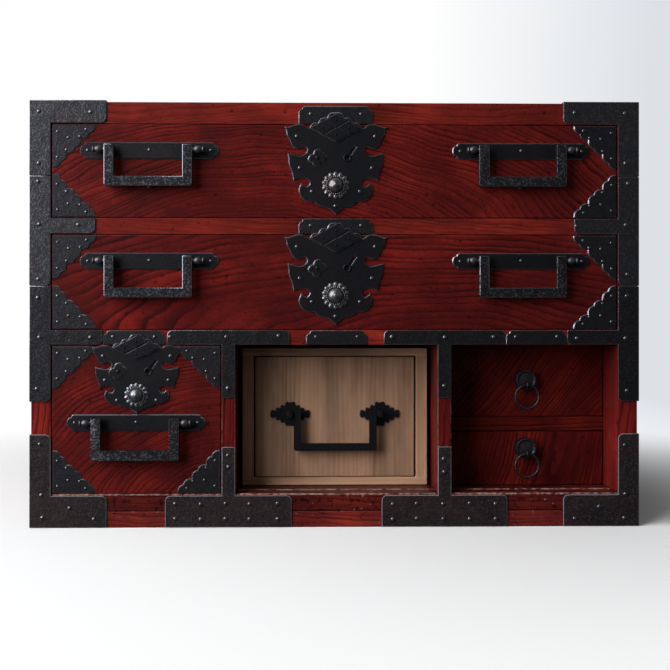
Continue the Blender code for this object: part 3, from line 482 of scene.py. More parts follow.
def bevelled(piece, width, segments=2, angle=30):
    only(piece)
    bpy.ops.object.modifier_add(type="BEVEL")
    bevel = piece.modifiers[-1]
    bevel.width = width
    bevel.segments = segments
    bevel.limit_method = "ANGLE"
    bevel.angle_limit = math.radians(angle)
    bpy.ops.object.modifier_apply(modifier=bevel.name)
    bpy.ops.object.shade_smooth_by_angle(angle=FLAT)


def eased_copy(node, edge, upper_only=False):
    """A copy of a solid with its arrises eased; of a rail with mortises below, only the long upper ones."""
    only(nodes[node])
    bpy.ops.object.duplicate()
    piece = bpy.context.object
    piece.name = f"dressed_{node}"
    del piece["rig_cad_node"]
    bpy.ops.mesh.customdata_custom_splitnormals_clear()
    bpy.ops.object.mode_set(mode="EDIT")
    bpy.ops.mesh.select_all(action="SELECT")
    bpy.ops.mesh.remove_doubles(threshold=0.01 * MM)
    bpy.ops.mesh.dissolve_limited(angle_limit=math.radians(1))
    bpy.ops.object.mode_set(mode="OBJECT")
    if not upper_only:
        bevelled(piece, edge)
        return piece
    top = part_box(node)[1].z
    bpy.ops.object.mode_set(mode="EDIT")
    bpy.ops.mesh.select_mode(type="EDGE")
    bpy.ops.mesh.select_all(action="DESELECT")
    bpy.ops.object.mode_set(mode="OBJECT")
    for line in piece.data.edges:
        ends = [piece.data.vertices[end].co for end in line.vertices]
        line.select = (ends[1] - ends[0]).length > 50 * MM and min(end.z for end in ends) > top - 0.1 * MM
    bpy.ops.object.mode_set(mode="EDIT")
    bpy.ops.mesh.bevel(offset=edge, segments=2, affect="EDGES")
    bpy.ops.object.mode_set(mode="OBJECT")
    bpy.ops.object.shade_smooth_by_angle(angle=FLAT)
    return piece


def mark_wear_and_sheen(piece, share=1.0, upper_only=False):
    """Mark the sloping faces between a piece's front and its sides as filed bright with a painted highlight,
    or rubbed pale.
    """
    marks = piece.data.attributes.new("wear_and_sheen", "FLOAT", "FACE")
    for face, mark in zip(piece.data.polygons, marks.data):
        sloping = 0.3 < abs(face.normal.y) < 0.95 and (face.normal.z > 0.3 or not upper_only)
        mark.value = share if sloping else 0.0
    return piece


def mark_all_wear_and_sheen(piece, share):
    """Mark every face of a piece as filed that bright, which also paints a highlight on it."""
    for mark in piece.data.attributes.new("wear_and_sheen", "FLOAT", "FACE").data:
        mark.value = share


def coat(piece, finish):
    piece.data.materials.clear()
    piece.data.materials.append(finish)


def seat(piece, finish, body, slot, *replaced):
    """Give a finished piece its finish and its body, and hide the solids that it stands for. The slot is not
    used.
    """
    coat(piece, finish)
    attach(piece, body)
    if replaced:
        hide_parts(*replaced)


print("shading is smooth up to", round(math.degrees(FLAT)), "degrees")

# %% Carcase boards and drawer fronts
BOARDS = {
    "top_board": "top_board",
    "left_side_board": "sides",
    "right_side_board": "right_side",
    "upper_shelf": "upper_rail",
    "lower_shelf": "lower_rail",
    "floor_board": "floor",
    "base_board": "base",
    "left_partition": "partitions",
    "right_partition": "partitions",
    "ring_drawer_shelf": "ring_shelf",
    "top_drawer_front": "top_drawer",
    "second_drawer_front": "second_drawer",
    "small_drawer_front": "small_drawer",
    "upper_ring_drawer_front": "upper_ring_drawer",
    "lower_ring_drawer_front": "lower_ring_drawer",
}
EASED = 0.9 * MM
WORN = {"floor": (1.5 * MM, 1.0), "partitions": (1.0 * MM, 0.35)}  # an edge's width, and how bare it is
MORTISED = ("top_board", "upper_shelf", "lower_shelf")
for node, log in BOARDS.items():
    edge, bare = WORN.get(log, (EASED, 0))
    board = eased_copy(node, edge, upper_only=node in MORTISED)
    if bare:
        mark_wear_and_sheen(board, bare, upper_only=log == "floor")
    seat(board, ZELKOVA[log], body_of[node], "red_lacquer", node)
print(len(BOARDS), "lacquered boards eased")

# %% Paulownia box, trays and back
KIRI_EASED = 0.8 * MM
GAP_ACROSS, GAP_UP = 2.2 * MM, 0.9 * MM  # how much narrower and lower the drawer front is planed
low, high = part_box("kiri_drawer_front")
kiri_case = eased_copy("kiri_case", KIRI_EASED)
bpy.ops.object.mode_set(mode="EDIT")
for level in (low.z, high.z):
    bpy.ops.mesh.select_all(action="SELECT")
    bpy.ops.mesh.bisect(plane_co=(0, 0, level), plane_no=(0, 0, 1))
bpy.ops.object.mode_set(mode="OBJECT")
marks = kiri_case.data.attributes.new("lying", "FLOAT", "FACE")
for face, mark in zip(kiri_case.data.polygons, marks.data):
    mark.value = 0.0 if low.z < face.center.z < high.z else 1.0
seat(kiri_case, lit_case_kiri, "kiri_case", "paulownia", "kiri_case")
kiri_front = eased_copy("kiri_drawer_front", KIRI_EASED)
bpy.ops.object.mode_set(mode="EDIT")
bpy.ops.mesh.select_all(action="SELECT")
shrink = (1 - GAP_ACROSS / (high.x - low.x), 1, 1 - GAP_UP / (high.z - low.z))
bpy.ops.transform.resize(value=shrink, center_override=(low + high) / 2)
bpy.ops.object.mode_set(mode="OBJECT")
seat(kiri_front, kiri, "kiri_drawer", "paulownia", "kiri_drawer_front")
for node in nodes:
    if node.endswith("_tray"):
        coat(nodes[node], cedar)
coat(nodes["back_board"], cedar_back)
print("paulownia box eased, trays and back left as they are")

# %% [markdown]
# ## Iron straps
#
# The straps are cut from sheet and filed at the edges. The filed edge is under a millimetre wide, and
# it is most of what shows of black iron on a dark front: a thin bright line down each left side. Its
# bevel is painted a lighter grey, partly bare metal and partly a painted highlight. The straps keep the
# shape of their solids and get that edge from Bevel. Those at the foot are the rustiest, and those round
# the lower bays are darker than those at the long drawers.

# %% Straps
STRAP_EDGE = 0.7 * MM
LONG_DRAWERS = 0.25  # straps that reach above this height lie beside the long drawers
STRAPS = [node for node in nodes if node.endswith("_iron")]
for node in STRAPS:
    low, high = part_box(node)
    iron = base_iron if low.z < 1 * MM else shelf_iron if high.z < LONG_DRAWERS else strap_iron
    seat(mark_wear_and_sheen(eased_copy(node, STRAP_EDGE)), iron, "carcase", "black_iron", node)
for node in nodes:
    if node.endswith("_bolt"):
        coat(nodes[node], strap_iron)
print(len(STRAPS), "straps")

# %% [markdown]
# ## Nails
#
# Every fitting is held by forged nails with small round domed heads. There are far too many to draw
# one by one, so one head is modelled and copied. It starts as a ball with few segments; bisect cuts
# the half behind the iron away and a resize flattens what is left. Each copy gets its own size, and
# all the heads on one fitting are joined into one piece.

# %% One nail head
bpy.ops.object.select_all(action="DESELECT")
bpy.ops.mesh.primitive_uv_sphere_add(segments=12, ring_count=8, radius=1, rotation=(QUARTER, 0, 0))
nail = bpy.context.object
nail.name = "nail_pattern"
bpy.ops.object.transform_apply(location=False, rotation=True, scale=False)
bpy.ops.object.mode_set(mode="EDIT")
bpy.ops.mesh.select_all(action="SELECT")
bpy.ops.mesh.bisect(plane_co=(0, 0.05, 0), plane_no=(0, 1, 0), clear_outer=True)
bpy.ops.mesh.select_all(action="SELECT")
bpy.ops.transform.resize(value=(1, 0.6, 1), center_override=(0, 0, 0))
bpy.ops.object.mode_set(mode="OBJECT")
bpy.ops.object.shade_smooth()
# The whole head is painted a lighter grey: a painted highlight on the dome.
mark_all_wear_and_sheen(nail, 0.7)
print("a nail head has", len(nail.data.polygons), "faces")


def nail_heads(places, face, radius):
    """Nail heads at (x, z) places in millimetres on a face at that y."""
    heads = []
    for x, z in places:
        only(nail)
        bpy.ops.object.duplicate()
        head = bpy.context.object
        head.location = (x * MM, face, z * MM)
        head.scale = (radius, radius, radius)
        heads.append(head)
    row = join(heads, "nail_heads")
    bpy.ops.object.transform_apply(location=True, rotation=True, scale=True)
    return row


# %% Nails of the straps
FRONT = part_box("base_board")[0].y
STRAP_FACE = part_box("left_partition_head_iron")[0].y
STRAP_NAILS = [
    (-295, 414), (-244, 413.5), (-295, 362.5), (239.5, 414.5), (290, 414), (290.5, 364),
    (-295.5, 344.5), (-294.5, 302), (-256, 301.5), (-295.5, 247.5),
    (293, 343.5), (291, 302), (241, 301), (292.5, 252.5),
    (-296, 229), (-294.5, 189.5), (-244, 189.5), (-297, 138.5),
    (292, 231), (241.5, 188.5), (290.5, 188.5), (292, 136),
    (-294, 83.5), (-292.5, 33), (-291.5, 10.5), (-264.5, 20), (-240.5, 9),
    (290, 81.5), (290.5, 32.5), (289.5, 8.5), (264, 20), (239.5, 8),
    (-165, 190), (-109, 190), (-57, 191), (-107.5, 139),
    (56, 190), (109, 189.5), (158, 190), (108.5, 141),
    (-160, 24), (-134.5, 23.5), (-110, 24), (-86, 23.5), (-58, 24),
    (-160, 9), (-134.5, 8.5), (-110, 9), (-86, 8.5), (-58, 8.5), (-107.5, 72), (-107, 60.5),
    (57, 23), (81, 23.5), (107.5, 23), (134, 23.5), (160, 23),
    (57, 8), (81, 8.5), (107.5, 8), (134, 8), (160, 8), (108, 68), (108.5, 55),
]
strap_nails = nail_heads(STRAP_NAILS, STRAP_FACE, 2.1 * MM)
strap_nails.name = "strap_nails"
seat(strap_nails, strap_iron, "carcase", "black_iron")
print(len(STRAP_NAILS), "nails in the straps")

# %% [markdown]
# ## Flat iron plates with cloud edges
#
# Strike plates, corner plates, handle plates and lock plates are all one thing: sheet iron sawn to an
# outline and filed at its edges. A plane could be cut with a knife, but a flat curve with as many
# points as the outline is quicker: it is filled, given the sheet's thickness and a bevel, stood
# upright and turned into a mesh, and a second line in the same curve makes a hole. Scalloped edges
# come from one small function that strings round lobes along a line, and drawn curves from one that
# runs smoothly through a few points and stays sharp where a point says so.


# %% Helpers for plates
def plate(name, outline, back, thickness, edge, holes=(), bright=1.0):
    """A sheet with (x, z) outlines in metres, from y = back forwards, with a filed edge that wide, painted
    bright as wear and painted highlight.
    """
    full = max(thickness, 2 * edge + 0.1 * MM)
    drawing = bpy.data.curves.new(name, "CURVE")
    drawing.dimensions = "2D"
    drawing.fill_mode = "BOTH"
    drawing.extrude = full / 2 - edge
    drawing.bevel_depth = edge
    drawing.bevel_resolution = 0
    drawing.offset = -edge
    for loop in (outline, *holes):
        line = drawing.splines.new("POLY")
        line.points.add(len(loop) - 1)
        line.use_cyclic_u = True
        for point, (x, z) in zip(line.points, loop):
            point.co = (x, z, 0, 1)
    piece = bpy.data.objects.new(name, drawing)
    scene.collection.objects.link(piece)
    piece.location.y = back - thickness + full / 2
    piece.rotation_euler.x = QUARTER
    only(piece)
    bpy.ops.object.convert(target="MESH")
    bpy.ops.object.transform_apply(location=True, rotation=True, scale=True)
    bpy.ops.object.mode_set(mode="EDIT")
    bpy.ops.mesh.select_all(action="SELECT")
    bpy.ops.mesh.remove_doubles(threshold=0.01 * MM)
    bpy.ops.mesh.normals_make_consistent(inside=False)
    bpy.ops.object.mode_set(mode="OBJECT")
    bpy.ops.object.shade_smooth_by_angle(angle=math.radians(25))
    return mark_wear_and_sheen(bpy.context.object, bright)


def scalloped(start, end, lobes, bulge, steps=5):
    """Points from start up to end along a row of lobes that swell to the left of the way taken."""
    start, end = Vector(start), Vector(end)
    way = end - start
    out = Vector((-way.y, way.x)).normalized()
    total = sum(lobes)
    points, done = [], 0.0
    for lobe in lobes:
        height = bulge * way.length * lobe / total
        for step in range(steps):
            share = step / steps
            swell = out * height * math.sin(math.pi * share)
            points.append(start + way * (done + share * lobe) / total + swell)
        done += lobe
    return [tuple(point) for point in points]


def cloud_diamond(tips, lobes, bulges, steps=5):
    """A diamond through four tips, with a row of lobes on each of its sides."""
    sides = zip(tips, tips[1:] + tips[:1], bulges)
    return [point for start, end, bulge in sides for point in scalloped(start, end, lobes, bulge, steps)]


def drawn(points, steps):
    """A smooth open line through (x, z, sharp) points, with a corner at each sharp one."""
    line = []
    for at in range(len(points) - 1):
        a, b = Vector(points[at][:2]), Vector(points[at + 1][:2])
        before = a if at == 0 or points[at][2] else Vector(points[at - 1][:2])
        after = b if at + 2 == len(points) or points[at + 1][2] else Vector(points[at + 2][:2])
        lead, trail = (b - before) / 2, (after - a) / 2
        for step in range(steps):
            t = step / steps
            line.append(
                a * (2 * t**3 - 3 * t**2 + 1)
                + lead * (t**3 - 2 * t**2 + t)
                + b * (3 * t**2 - 2 * t**3)
                + trail * (t**3 - t**2)
            )
    line.append(Vector(points[-1][:2]))
    return [tuple(point) for point in line]


def placed(outline, x, z, across=1, up=1):
    """An outline scaled and moved to its place."""
    return [(x + u * across, z + v * up) for u, v in outline]


print("a row of three lobes has", len(scalloped((0, 0), (1, 0), (1, 1, 1), 0.2)), "points")

# %% [markdown]
# ## Strike plates
#
# Above each lock, and above the two open bays, a plate covers the edge of the rail where the bolt
# strikes. Its upper corners are cut with a small bracket. Five plates, two nails each.

# %% Strike plates
STRIKE_SHEET, STRIKE_EDGE = 1.1 * MM, 0.6 * MM
STRIKE_BACK = FRONT - 0.2 * MM
LIFT = 0.3 * MM  # the plate's height above the underside of its rail
LOCK_X = sum(corner.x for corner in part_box("small_lock_bolt")) / 2
# Each has its rail, its x, and its width and height in millimetres.
STRIKES = (
    ("top_board", 0.0, 74, 17.5),
    ("upper_shelf", 0.0, 74, 15.2),
    ("lower_shelf", LOCK_X - 3 * MM, 61, 14.2),
    ("lower_shelf", 1 * MM, 61, 14.2),
    ("lower_shelf", 201 * MM, 61, 14.2),
)
BRACKET = ((0, 6), (1, 4), (3.2, 3), (4, 1.2), (6, 0))  # in from the side and down from the top
strikes = []
for rail, x, width, height in STRIKES:
    half = width / 2
    corner = [(half, 0)] + [(half - u, height - v) for u, v in BRACKET]
    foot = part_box(rail)[0].z + LIFT
    outline = placed(corner + [(-u, v) for u, v in reversed(corner)], x, foot, MM, MM)
    strikes.append(plate("strike", outline, STRIKE_BACK, STRIKE_SHEET, STRIKE_EDGE))
    level = foot / MM + height * 0.55
    places = [(x / MM - half * 0.68, level), (x / MM + half * 0.68, level)]
    strikes.append(nail_heads(places, STRIKE_BACK - STRIKE_SHEET, 1.8 * MM))
strike_plates = join(strikes, "strike_plates")
seat(strike_plates, plate_iron, "carcase", "black_iron")
print(len(STRIKES), "strike plates")

# %% [markdown]
# ## Corner plates of the drawers
#
# Each of the three large drawer fronts has a triangle of iron in every corner. Its long edge is cut in
# three cloud lobes of two arcs each, and six nails hold it. One outline is turned into all four corners
# by changing the signs of its axes; the plate function recalculates the normals, which a mirror would
# turn inside out.

# %% Corner plates
CORNER_SHEET, CORNER_EDGE = 1.2 * MM, 0.9 * MM
CORNER_SINK = 0.1 * MM
CORNER_INSET = 0.7 * MM  # from the edges of the drawer front
CORNER_NAILS = ((34.9, 5.0), (28.6, 12.4), (16.5, 13.6), (5.4, 7.3), (14.6, 26.4), (5.2, 34.0))
NAILED_SIZE = 45  # size of the plate on which those places are, in millimetres


def cloud_edge(size, steps=36):
    """Three lobes along the diagonal of a corner, each of two arcs, with deep cusps between the lobes."""
    edge = []
    for step in range(steps + 1):
        share = step / steps
        lobe, arc = abs(math.sin(3 * math.pi * share)) ** 0.7, abs(math.sin(6 * math.pi * share))
        swell = size * (0.034 * lobe + 0.026 * arc)
        edge.append((size * share + swell, size * (1 - share) + swell))
    return edge


def corner_plates(node, size):
    low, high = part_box(node)
    made = []
    for side, x in ((-1, low.x + CORNER_INSET), (1, high.x - CORNER_INSET)):
        for end, z in ((-1, low.z + CORNER_INSET), (1, high.z - CORNER_INSET)):
            outline = placed([(0, 0)] + cloud_edge(size), x, z, -side * MM, -end * MM)
            made.append(plate("corner", outline, low.y + CORNER_SINK, CORNER_SHEET, CORNER_EDGE))
            share = size / NAILED_SIZE
            places = placed(CORNER_NAILS, x / MM, z / MM, -side * share, -end * share)
            made.append(nail_heads(places, low.y + CORNER_SINK - CORNER_SHEET, 1.5 * MM))
    return join(made, node.replace("front", "corner_plates"))


for drawer, size in (("top_drawer", 43), ("second_drawer", 43.5), ("small_drawer", 42.5)):
    seat(corner_plates(f"{drawer}_front", size), plate_iron, drawer, "black_iron")
print("twelve corner plates")

# %% [markdown]
# ## Lock plates
#
# The locks are the showpiece: a cloud-shaped plate with curled lobes down both sides, a raised device
# of four small diamonds at the top, a chrysanthemum boss below, a keyhole with a slit leaning to the
# right, and a little crest that balances it on the left. The plate's half outline is a drawn line with
# sharp points at the tips of the curls, mirrored, and the keyhole is a hole in the same curve, closed
# behind by a small dark disc that is painted shade for the depth of the hole. The boss is petals round
# a beaded ring round a dome, all of them squashed balls: each petal is made above the middle and then
# turned into its place.

# %% Lock parts
# Half outline: (share of half the width, share of the height down from the drawer's top, sharp)
LOCK_HALF = (
    (0.0, 0.06, 0), (0.49, 0.05, 0), (0.62, 0.008, 0), (0.76, 0.004, 0), (0.93, 0.037, 0),
    (0.998, 0.022, 1), (0.955, 0.072, 0), (0.94, 0.126, 0), (0.894, 0.172, 1), (0.845, 0.235, 0),
    (0.76, 0.277, 0), (0.67, 0.27, 0), (0.59, 0.255, 0), (0.552, 0.284, 0), (0.578, 0.32, 0),
    (0.64, 0.346, 0), (0.71, 0.352, 0), (0.79, 0.339, 0), (0.926, 0.32, 1), (0.91, 0.386, 0),
    (0.90, 0.45, 0), (0.846, 0.535, 0), (0.812, 0.633, 1), (0.745, 0.607, 0), (0.65, 0.598, 0),
    (0.554, 0.607, 0), (0.5, 0.648, 0), (0.55, 0.690, 0), (0.61, 0.676, 0), (0.66, 0.650, 1),
    (0.70, 0.695, 0), (0.712, 0.74, 0), (0.68, 0.795, 0), (0.6, 0.842, 0), (0.506, 0.859, 0),
    (0.41, 0.858, 1), (0.348, 0.895, 0), (0.237, 0.916, 0), (0.142, 0.93, 0), (0.063, 0.968, 0),
    (0.0, 1.0, 1),
)


def ball(place, size, segments=12, rings=8):
    """A smooth ball squashed to (x, y, z) half sizes, with its place in its mesh."""
    bpy.ops.object.select_all(action="DESELECT")
    bpy.ops.mesh.primitive_uv_sphere_add(
        segments=segments, ring_count=rings, radius=1, location=place, scale=size
    )
    bpy.ops.object.transform_apply(location=True, rotation=True, scale=True)
    bpy.ops.object.shade_smooth()
    return bpy.context.object


def torus(place, turn, radius, wire, around, across):
    """A smooth ring of round wire, with its place in its mesh."""
    bpy.ops.object.select_all(action="DESELECT")
    bpy.ops.mesh.primitive_torus_add(
        location=place,
        rotation=turn,
        major_radius=radius,
        minor_radius=wire,
        major_segments=around,
        minor_segments=across,
    )
    bpy.ops.object.transform_apply(location=True, rotation=True, scale=True)
    bpy.ops.object.shade_smooth()
    return bpy.context.object


def flower_boss(x, face, z, radius):
    """A chrysanthemum: broad petals, a beaded ring and a dome, standing on a face at that y."""
    made = [ball((x, face, z), (radius * 0.92, radius * 0.13, radius * 0.92), 32, 10)]
    petals, beads = 14, 28
    for count in range(petals):
        made.append(ball((0, 0, radius * 0.76), (radius * 0.19, radius * 0.11, radius * 0.25)))
        bpy.ops.object.mode_set(mode="EDIT")
        bpy.ops.mesh.select_all(action="SELECT")
        bpy.ops.transform.rotate(value=math.tau * count / petals, orient_axis="Y", center_override=(0, 0, 0))
        bpy.ops.transform.translate(value=(x, face, z))
        bpy.ops.object.mode_set(mode="OBJECT")
    for count in range(beads):
        turn, reach = math.tau * count / beads, radius * 0.63
        place = (x + reach * math.sin(turn), face - radius * 0.17, z + reach * math.cos(turn))
        made.append(ball(place, [radius * 0.065] * 3, 8, 6))
    made.append(ball((x, face - radius * 0.1, z), (radius * 0.56, radius * 0.4, radius * 0.56), 24, 14))
    made.append(ball((x, face - radius * 0.44, z), (radius * 0.22, radius * 0.12, radius * 0.22), 16, 10))
    return join(made, "flower_boss")


def four_diamonds(x, face, z, width, height):
    """A scalloped diamond with four small raised diamonds on it, each with a stud."""
    sheet, sunk, small_sheet = 1.9 * MM, 0.1 * MM, 0.9 * MM
    tips = [(width / 2, 0), (0, -height / 2), (-width / 2, 0), (0, height * 0.53)]
    edge = cloud_diamond(tips, (1, 1, 1), (0.08, 0.08, 0.22, 0.22))
    made = [plate("diamond", placed(edge, x, z), face, sheet, 0.9 * MM)]
    front = face - sheet + sunk
    for u, v in ((0, 0.25), (0.25, 0), (0, -0.25), (-0.25, 0)):
        middle = (x + u * width, z + v * height)
        small = placed(tips, *middle, 0.45, 0.45)
        made.append(plate("small_diamond", small, front, small_sheet, 0.6 * MM, bright=0.45))
        made.append(ball((middle[0], front - small_sheet, middle[1]), [1.1 * MM] * 3, 10, 6))
    return made


print("half a lock plate is drawn through", len(LOCK_HALF), "points")

# %% Three locks
LOCK_SHEET, LOCK_EDGE = 1.6 * MM, 1.0 * MM
LOCK_BACK = FRONT - 0.3 * MM
LOCK_RISE = 0.6 * MM  # how far the plate reaches above its drawer front
KEY_RIGHT, CREST_LEFT = 11.5 * MM, 18.5 * MM  # from the plate's middle line
KEY_LEAN = math.radians(35)
KEY_SLIT = [(1.1 * MM, 13.5 * MM), (-1.1 * MM, 13.5 * MM)]
KEY_TURNS = [math.radians(-25 - 31 * step) for step in range(11)]
KEY_ROUND = [(2.3 * MM * math.sin(turn), 2.3 * MM * math.cos(turn)) for turn in KEY_TURNS]
KEYHOLE_SHADE_TURNS = [math.tau * step / 16 for step in range(16)]
KEYHOLE_SHADE = [((3 + 8 * math.sin(turn)) * MM, (5 + 9 * math.cos(turn)) * MM) for turn in KEYHOLE_SHADE_TURNS]
CREST_TIPS = [(9.5 * MM, 1.5 * MM), (-1 * MM, -9 * MM), (-9.5 * MM, -1.5 * MM), (1 * MM, 9 * MM)]


def lock(name, boss_radius, boss_drop, key_drop, diamond, nails):
    """A lock plate with all that is on it; drops are measured down from the drawer's top."""
    node, drawer = f"{name}_lock_plate", f"{name}_drawer"
    low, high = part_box(node)
    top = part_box(f"{drawer}_front")[1].z + LOCK_RISE
    x = sum(corner.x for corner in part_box(f"{name}_lock_bolt")) / 2
    face = LOCK_BACK - LOCK_SHEET

    # The keyhole: a round hole that runs out into a leaning slit, with a collar, and a dark disc behind it as
    # painted shade in the hole.
    key_x, key_z = x + KEY_RIGHT, top - key_drop
    cos, sin = math.cos(KEY_LEAN), math.sin(KEY_LEAN)
    keyhole = [(key_x + u * cos + v * sin, key_z - u * sin + v * cos) for u, v in KEY_SLIT + KEY_ROUND]
    half = drawn(LOCK_HALF, 3)
    outline = half + [(-u, v) for u, v in reversed(half[1:-1])]
    outline = placed(outline, x, top, (high.x - low.x) / 2, low.z - top)
    sheet = plate("lock_sheet", outline, LOCK_BACK, LOCK_SHEET, LOCK_EDGE, [keyhole])
    shade_disc = plate("keyhole_shade_disc", placed(KEYHOLE_SHADE, key_x, key_z), FRONT + 0.1 * MM, 0.3 * MM, 0.05 * MM)
    collar = torus((key_x, face, key_z), (QUARTER, 0, 0), 3.4 * MM, 0.9 * MM, 24, 8)

    # The crest: a small leaning diamond with cloud edges and a stud, raised a millimetre.
    crest_x, crest_z = x - CREST_LEFT, key_z
    edge = placed(cloud_diamond(CREST_TIPS, (1, 1), [0.2] * 4), crest_x, crest_z)
    crest = [
        plate("crest", edge, face + 0.1 * MM, 1.4 * MM, 1.1 * MM),
        ball((crest_x, face - 1.0 * MM, crest_z), [2.2 * MM, 1.2 * MM, 2.2 * MM]),
    ]
    boss = flower_boss(x, face, top - boss_drop, boss_radius)
    boss.name = f"{name}_lock_boss"
    seat(boss, boss_iron, drawer, "black_iron")
    width, rise, drop = diamond
    device = four_diamonds(x, FRONT - 1.6 * MM, top - drop, width, rise)
    heads = nail_heads(placed(nails, x / MM, top / MM, 1, -1), face, 1.9 * MM)
    piece = join([sheet, shade_disc, collar, heads] + crest + device, f"{name}_lock")
    seat(piece, lock_iron, drawer, "black_iron", node)
    return piece


LONG_NAILS = ((-39, 12.5), (-36, 44), (-24, 67.5), (-0.5, 82), (39, 12.5), (36, 44), (24, 67.5))
SMALL_NAILS = ((-33.5, 11), (-31.5, 35), (-19.5, 55), (33.5, 11), (31.5, 35), (19.5, 55))
LONG_LOCK = (14 * MM, 61.5 * MM, 33.9 * MM, (52.5 * MM, 28.8 * MM, 4.1 * MM), LONG_NAILS)
SMALL_LOCK = (12.5 * MM, 50 * MM, 26.2 * MM, (48.8 * MM, 25 * MM, 2.8 * MM), SMALL_NAILS)
for name, sizes in (("top", LONG_LOCK), ("second", LONG_LOCK), ("small", SMALL_LOCK)):
    made = lock(name, *sizes)
    print(made.name, "has", len(made.data.polygons), "faces")

# %% [markdown]
# ## Bail handles
#
# Each drawer handle is a long back plate with cusped ends, two bearings, and a square-section bail that
# hinges between them. The plate is a drawn outline like the others. A bearing is three squashed balls:
# a neck from the plate, a barrel along the pin and the pin's riveted end. The bail keeps the shape of
# its solid, so that its pins stay in their bearings, with its edges filed by Bevel. It rests on one
# nail below the plate.


# %% Handle parts
def rod(x, y, z, radius, reach, vertices):
    """A cylinder from y out towards the front, with its place in its mesh."""
    place = (x, y - reach / 2, z)
    bpy.ops.object.select_all(action="DESELECT")
    bpy.ops.mesh.primitive_cylinder_add(
        vertices=vertices, radius=radius, depth=reach, location=place, rotation=(QUARTER, 0, 0)
    )
    bpy.ops.object.transform_apply(location=True, rotation=True, scale=True)
    return bpy.context.object


def post(x, y, z, radius, length):
    """A round post with a domed head on a small collar, from y out towards the front."""
    made = []
    for size, reach, dome in ((radius * 1.35, length * 0.2, 0.25), (radius, length, 0.75)):
        stem = rod(x, y, z, size, reach, 24)
        points = stem.data.vertices
        for point in points:
            point.select = point.co.y < y - reach / 2
        for line in stem.data.edges:
            line.select = all(points[end].select for end in line.vertices)
        bpy.ops.object.mode_set(mode="EDIT")
        bpy.ops.mesh.bevel(offset=size * dome, segments=4, affect="EDGES", clamp_overlap=True)
        bpy.ops.object.mode_set(mode="OBJECT")
        bpy.ops.object.shade_smooth_by_angle(angle=math.radians(30))
        made.append(stem)
    return made


def bearing(x, y, z, side, face):
    """A bail's bearing: a neck from its plate, a barrel along the pin, and the pin's riveted end."""
    neck = ball((x, (face + y) / 2, z), (3.4 * MM, (face - y) / 2 + 1.5 * MM, 3.4 * MM), 16, 10)
    barrel = ball((x + side * 0.8 * MM, y, z), (4.9 * MM, 3.6 * MM, 3.9 * MM), 20, 12)
    rivet = ball((x + side * 6.0 * MM, y, z), (1.6 * MM, 3.1 * MM, 3.4 * MM), 16, 10)
    # The barrel and the rivet are painted lighter all over: a painted highlight on the round iron.
    for part in (barrel, rivet):
        mark_all_wear_and_sheen(part, 0.45)
    return [neck, barrel, rivet]


def spread(node):
    """A solid's middle x and z, and half its width and height."""
    low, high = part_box(node)
    return (low.x + high.x) / 2, (low.z + high.z) / 2, (high.x - low.x) / 2, (high.z - low.z) / 2


print("a bail reaches", round(spread("top_left_bail")[2] / MM, 1), "mm to each side")

# %% Drawer handles
# The end of a back plate: millimetres from its tip, share of half its height, sharp
CUSPED_END = (
    (-10, 1, 0), (-6, 0.97, 0), (-4.2, 0.66, 1), (-1.2, 0.5, 0), (0, 0, 0), (-1.2, -0.5, 0), (-4.2, -0.66, 1),
    (-6, -0.97, 0), (-10, -1, 0),
)
HANDLE_SHEET = 1.6 * MM
HANDLE_BACK = FRONT - 0.2 * MM
PIN_X, PIN_Y = 48 * MM, FRONT - 8.5 * MM  # a pin's distance from the handle's middle, and its depth
END_NAIL = 8  # millimetres in from the plate's tips
HANDLES = {
    "top_left": "top_drawer",
    "top_right": "top_drawer",
    "second_left": "second_drawer",
    "second_right": "second_drawer",
    "small": "small_drawer",
}
for name, drawer in HANDLES.items():
    x, z, half, rise = spread(f"{name}_handle_plate")
    right = [(half + u * MM, v * rise) for u, v in drawn(CUSPED_END, 3)]
    outline = placed(right + [(-u, -v) for u, v in right], x, z)
    made = [plate("back_plate", outline, HANDLE_BACK, HANDLE_SHEET, 1.0 * MM)]
    for side in (-1, 1):
        made += bearing(x + side * PIN_X, PIN_Y, z, side, FRONT - 1.5 * MM)
    bail_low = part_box(f"{name}_bail")[0].z
    end_nail = half / MM - END_NAIL
    places = placed([(-end_nail, 0), (0, 0.6), (end_nail, 0)], x / MM, z / MM)
    made.append(nail_heads(places, HANDLE_BACK - HANDLE_SHEET, 1.7 * MM))
    made.append(nail_heads([(x / MM, bail_low / MM + 0.9)], FRONT, 2.4 * MM))
    seat(join(made, f"{name}_handle"), lock_iron, drawer, "black_iron", f"{name}_handle_plate")
    bail = mark_wear_and_sheen(eased_copy(f"{name}_bail", 0.8 * MM))
    seat(bail, bail_iron, f"{name}_bail", "black_iron", f"{name}_bail")
print(len(HANDLES), "drawer handles")

# %% [markdown]
# ## The paulownia box's handle
#
# A lighter bail hangs from two roses shaped like a cloud drawn out to two points. Each rose is a plate
# with lobed edges and a post, a cylinder whose front edge is bevelled until it is a dome.

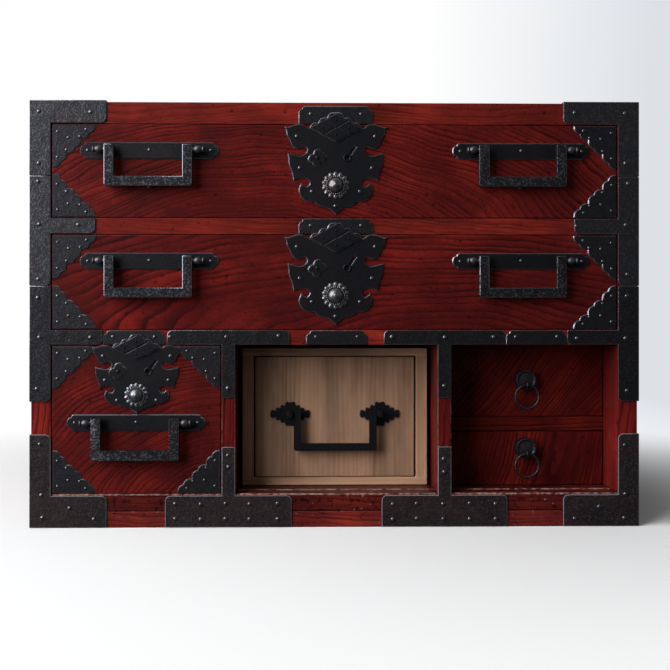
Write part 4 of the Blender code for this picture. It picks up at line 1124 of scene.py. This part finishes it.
# %% Roses and bail of the paulownia drawer
ROSE_SHEET = 1.6 * MM
KIRI_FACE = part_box("kiri_drawer_front")[0].y
POST_FOOT = KIRI_FACE - 1.5 * MM
for side in ("left", "right"):
    node = f"kiri_{side}_rose"
    x, z, half, rise = spread(node)
    tips = [(half, 0), (0, -0.92 * rise), (-half, 0), (0, 0.92 * rise)]
    outline = placed(cloud_diamond(tips, (1.2, 1, 1, 1.2), [0.42] * 4, 7), x, z)
    made = [plate("rose", outline, KIRI_FACE - 0.2 * MM, ROSE_SHEET, 0.5 * MM)]
    made += post(x, POST_FOOT, z, 3.2 * MM, POST_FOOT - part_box(node)[0].y)
    seat(join(made, f"kiri_{side}_rose_plate"), lock_iron, "kiri_drawer", "black_iron", node)
seat(eased_copy("kiri_bail", 1.0 * MM), lock_iron, "kiri_bail", "black_iron", "kiri_bail")
print("two roses and a bail")

# %% [markdown]
# ## Ring pulls
#
# The two small drawers have a short iron drum with a dished face, an eye low on its front, and a wire
# ring hanging in the eye. The drum is a cylinder with a bevelled edge and an inset face; the eye and
# the ring are tori, as fine as round wire needs.

# %% Knobs and rings
KNOB_REACH = 11.2 * MM
KNOB_FLARE = 1.12  # how much wider the drum is than its solid
EYE_RADIUS, EYE_WIRE, RING_WIRE = 3.0 * MM, 1.0 * MM, 1.4 * MM
for name in ("upper", "lower"):
    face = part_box(f"{name}_ring_drawer_front")[0].y
    x, middle, solid_radius, solid_rise = spread(f"{name}_knob")
    drum = rod(x, face, middle + solid_rise - solid_radius, solid_radius * KNOB_FLARE, KNOB_REACH, 32)
    bpy.ops.object.mode_set(mode="EDIT")
    bpy.ops.mesh.select_mode(type="FACE")
    bpy.ops.mesh.select_all(action="DESELECT")
    bpy.ops.object.mode_set(mode="OBJECT")
    for side in drum.data.polygons:
        side.select = side.normal.y < -0.9
    bpy.ops.object.mode_set(mode="EDIT")
    for inset, rise in ((2.2 * MM, 0), (0.7 * MM, -1.2 * MM), (3.5 * MM, 0.8 * MM)):
        bpy.ops.mesh.inset(thickness=inset, depth=rise)
    bpy.ops.object.mode_set(mode="OBJECT")
    bevelled(drum, 1.3 * MM, segments=3, angle=50)
    low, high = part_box(f"{name}_ring")
    eye_y = (low.y + high.y) / 2
    place = (x, eye_y + 0.4 * MM, high.z - RING_WIRE)
    eye = torus(place, (0, QUARTER, 0), EYE_RADIUS, EYE_WIRE, 24, 10)
    knob = join([drum, eye], f"{name}_ring_knob")
    seat(knob, strap_iron, f"{name}_ring_drawer", "black_iron", f"{name}_knob")
    radius = (high.x - low.x) / 2 - RING_WIRE
    wire = torus((x, eye_y, (low.z + high.z) / 2), (QUARTER, 0, 0), radius, RING_WIRE, 48, 12)
    wire.name = f"{name}_wire_ring"
    seat(wire, strap_iron, f"{name}_ring", "black_iron", f"{name}_ring")
print("two knobs, two rings")

# %% [markdown]
# ## The pattern nail
#
# The pattern nail goes.

# %% Remove the pattern nail
bpy.data.objects.remove(nail)
